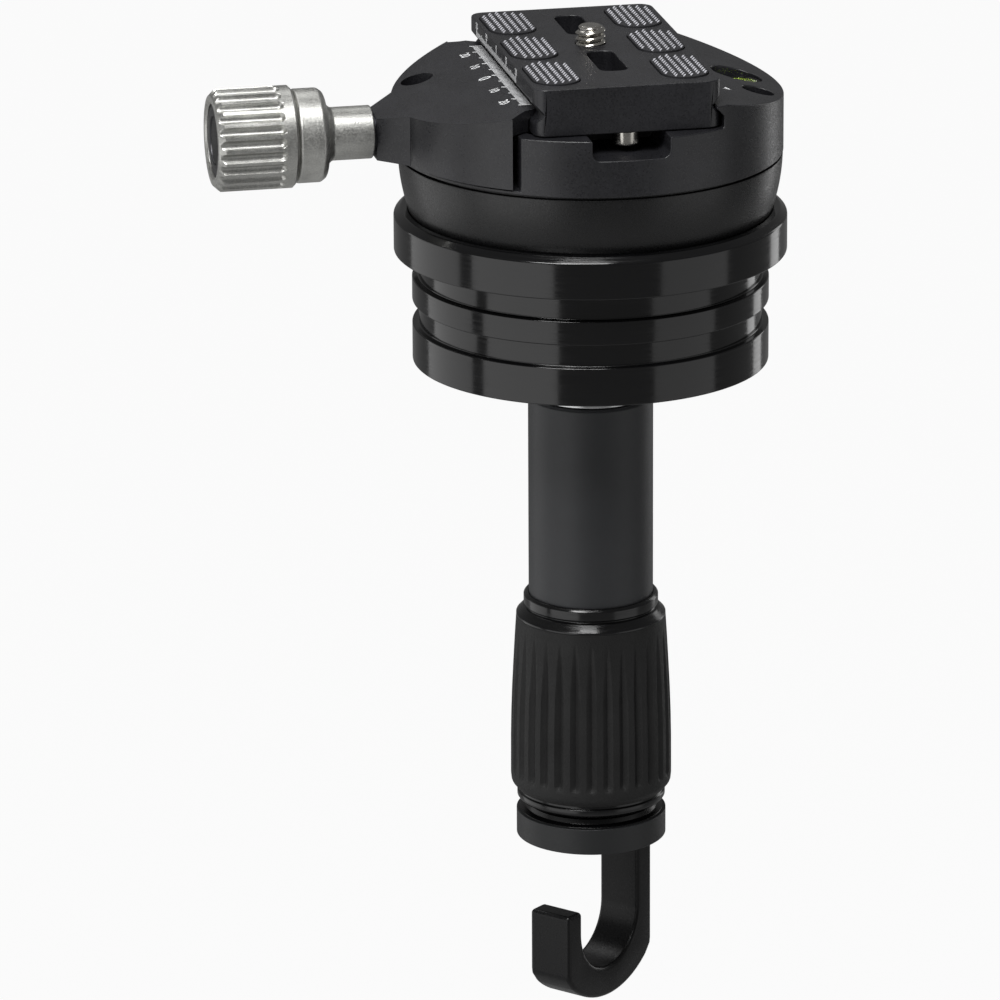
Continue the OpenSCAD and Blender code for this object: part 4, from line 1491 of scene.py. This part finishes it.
# Frame nodes that keep their own shape, and the finish of each.
KEPT_FINISHES: dict[str, Finish] = {
    "bowl_liner": ACETAL,
    "washer_pad": ACETAL,
    "core_rod": GROUND_STEEL,
    "rod_nut": GROUND_STEEL,
    "centre_bolt": GROUND_STEEL,
    "body_screws": OXIDE_STEEL,
    "locating_pins": GROUND_STEEL,
    "thread_insert": BRONZE,
    "pivot_screw": BRIGHT_STEEL,
    "pivot_washer": BRIGHT_STEEL,
    "tube_bush": ACETAL,
    "thrust_washer": BRONZE,
    "grip_core": MACHINED,
    "guide_pins": GROUND_STEEL,
    "jaw_set_screw": OXIDE_STEEL,
    "jaw_springs": GROUND_STEEL,
    "clamp_screw": GROUND_STEEL,
    "knob_washer": OXIDE_STEEL,
    "screw_retainer": GROUND_STEEL,
}


# ---------------------------------------------------------------- studio

# Each soft box: its name, its place and its size in metres, and its power in watts.
LAMPS: list[tuple[str, Triple, Pair, float]] = [
    ("left_back_panel", (-0.89, 0.45, -0.12), (0.85, 0.8), 1.9),
    ("left_front_panel", (-0.86, -0.52, -0.14), (0.95, 0.76), 2.5),
    ("right_panel", (0.86, -0.69, -0.12), (0.9, 0.8), 1.2),
    ("right_rim", (0.9, 0.6, 0.0), (0.25, 0.8), 1.0),
    ("key_box", (-0.5, -0.62, 0.95), (0.4, 0.4), 7.0),
    ("over_box", (-0.12, -0.36, 1.05), (0.35, 0.3), 6.0),
    ("top_box", (-0.1, 0.6, 0.8), (0.7, 0.3), 1.2),
]


@dataclass
class Studio:
    """The floor, the backdrop, the lamps and the camera."""

    distance: float = 1700.0
    focal: float = 8021.0
    elevation: float = 17.53
    azimuth: float = -11.75
    roll: float = -0.28
    view_units: float = 1000.0
    sensor_mm: float = 36.0
    aim: Pair = (590.5, 355.3)
    floor_z: float = -0.5
    room_light: float = 0.1
    room_in_gloss: float = 0.06
    floor_in_gloss: float = 0.1
    floor_direct: float = 0.955
    lamp_target: Triple = (0.0, 0.0, -0.02)

    def camera(self) -> None:
        """Places the camera so that the bowl's foot lies where it should in the view."""
        a, e, r = (math.radians(v) for v in (self.azimuth, self.elevation, self.roll))
        back = Vector((math.sin(a) * math.cos(e), -math.cos(a) * math.cos(e), math.sin(e)))
        right = Vector((math.cos(a), math.sin(a), 0))
        up = back.cross(right)
        right, up = (right * math.cos(r) + up * math.sin(r), up * math.cos(r) - right * math.sin(r))
        offset = Vector(
            (
                (self.aim[0] - self.view_units / 2) / self.focal * self.distance,
                -(self.aim[1] - self.view_units / 2) / self.focal * self.distance, -self.distance,
            )
        )
        turn = Matrix((right, up, back)).transposed()
        centre = -(turn @ offset) * MM
        data = bpy.data.cameras.new("studio_camera")
        data.sensor_width = self.sensor_mm
        data.lens = self.focal / self.view_units * self.sensor_mm
        data.clip_start, data.clip_end = 0.05, 50.0
        view = bpy.data.objects.new("studio_camera", data)
        bpy.context.scene.collection.objects.link(view)
        view.matrix_world = Matrix.Translation(centre) @ turn.to_4x4()
        bpy.context.scene.camera = view

    def seen(
        self, tree: bpy.types.NodeTree, direct: float, in_gloss: float
    ) -> bpy.types.NodeSocket:
        """Says how white the background is to a ray.

        Args:
            tree: the node tree to add to.
            direct: the share of white for rays from the camera and through clear pieces.
            in_gloss: the share of white that glossy surfaces show.

        Returns:
            The socket with the share of white.
        """
        light = add_node(tree, "ShaderNodeLightPath")
        through = add_node(
            tree, "ShaderNodeMath", {"operation": "MAXIMUM"},
            _0=light.outputs["Is Camera Ray"], _1=light.outputs["Is Transmission Ray"],
        )
        straight = add_node(
            tree, "ShaderNodeMath", {"operation": "MULTIPLY", 1: direct}, _0=through.outputs[0]
        )
        mirrored = add_node(
            tree, "ShaderNodeMath", {"operation": "MULTIPLY", 1: in_gloss},
            _0=light.outputs["Is Glossy Ray"],
        )
        return add_node(
            tree, "ShaderNodeMath", {"operation": "MAXIMUM"},
            _0=straight.outputs[0], _1=mirrored.outputs[0],
        ).outputs[0]

    def floor(self) -> None:
        """Lays a plain pale floor under and behind the object."""
        deselect_all()
        bpy.ops.mesh.primitive_plane_add(size=12, location=(0, 0, self.floor_z))
        floor = bpy.context.object
        settle(floor, "studio_floor")
        paper = bpy.data.materials.new("matte_white_paper")
        paper.use_nodes = True
        tree = paper.node_tree
        tree.nodes.clear()
        flat = add_node(tree, "ShaderNodeBsdfDiffuse", {"Color": linear("#b4b4b4")})
        glow = add_node(tree, "ShaderNodeEmission", {"Color": (1, 1, 1, 1), "Strength": 1.0})
        mix = add_node(
            tree, "ShaderNodeMixShader", _0=self.seen(tree, self.floor_direct, self.floor_in_gloss),
            _1=flat.outputs[0], _2=glow.outputs[0],
        )
        add_node(tree, "ShaderNodeOutputMaterial", Surface=mix.outputs[0])
        floor.data.materials.append(paper)

    def world(self) -> None:
        """Fills the room with soft grey light behind a white background."""
        world = bpy.data.worlds.new("studio_room")
        world.use_nodes = True
        tree = world.node_tree
        tree.nodes.clear()
        room = add_node(
            tree, "ShaderNodeBackground", {"Color": (1, 1, 1, 1), "Strength": self.room_light}
        )
        white = add_node(tree, "ShaderNodeBackground", {"Color": (1, 1, 1, 1), "Strength": 1.0})
        mix = add_node(
            tree, "ShaderNodeMixShader", _0=self.seen(tree, 1.0, self.room_in_gloss),
            _1=room.outputs[0], _2=white.outputs[0],
        )
        add_node(tree, "ShaderNodeOutputWorld", Surface=mix.outputs[0])
        bpy.context.scene.world = world

    def lamp(self, name: str, place: Triple, size: Pair, power: float) -> None:
        """Hangs a soft box that points at the target.

        Args:
            name: its name.
            place: where it hangs, in metres.
            size: its width and height in metres.
            power: its power in watts.
        """
        data = bpy.data.lights.new(name, "AREA")
        data.shape, data.size, data.size_y, data.energy = "RECTANGLE", size[0], size[1], power
        lamp = bpy.data.objects.new(name, data)
        lamp.visible_camera = False
        bpy.context.scene.collection.objects.link(lamp)
        aim = Vector(self.lamp_target) - Vector(place)
        turn = aim.to_track_quat("-Z", "Y").to_matrix().to_4x4()
        lamp.matrix_world = Matrix.Translation(place) @ turn

    def build(self) -> None:
        """Sets up the whole studio."""
        self.camera()
        self.floor()
        self.world()
        scene = bpy.context.scene
        scene.view_settings.view_transform = "Standard"
        for name, place, size, power in LAMPS:
            self.lamp(name, place, size, power)


def main() -> None:
    """Loads the frame, builds each assembly, dresses the kept nodes and lights the scene."""
    logging.basicConfig(level=logging.INFO, format="%(message)s")
    for unwanted in list(bpy.data.objects):
        bpy.data.objects.remove(unwanted)
    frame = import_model()
    Studio().build()
    for node_name, finish in KEPT_FINISHES.items():
        node = frame["nodes"][node_name]
        node.data.materials.clear()
        node.data.materials.append(finish.material())
    for assembly in (
        LevellingBowl(), PressureWasher(), Column(), ColumnTube(), TwistGrip(), HangingHook(),
        Clamp(), LevelVial(), MovingJaw(), Knob(), QuickPlate(), CameraScrew(),
    ):
        assembly.build()
    deselect_all()


if __name__ == "__main__":
    main()
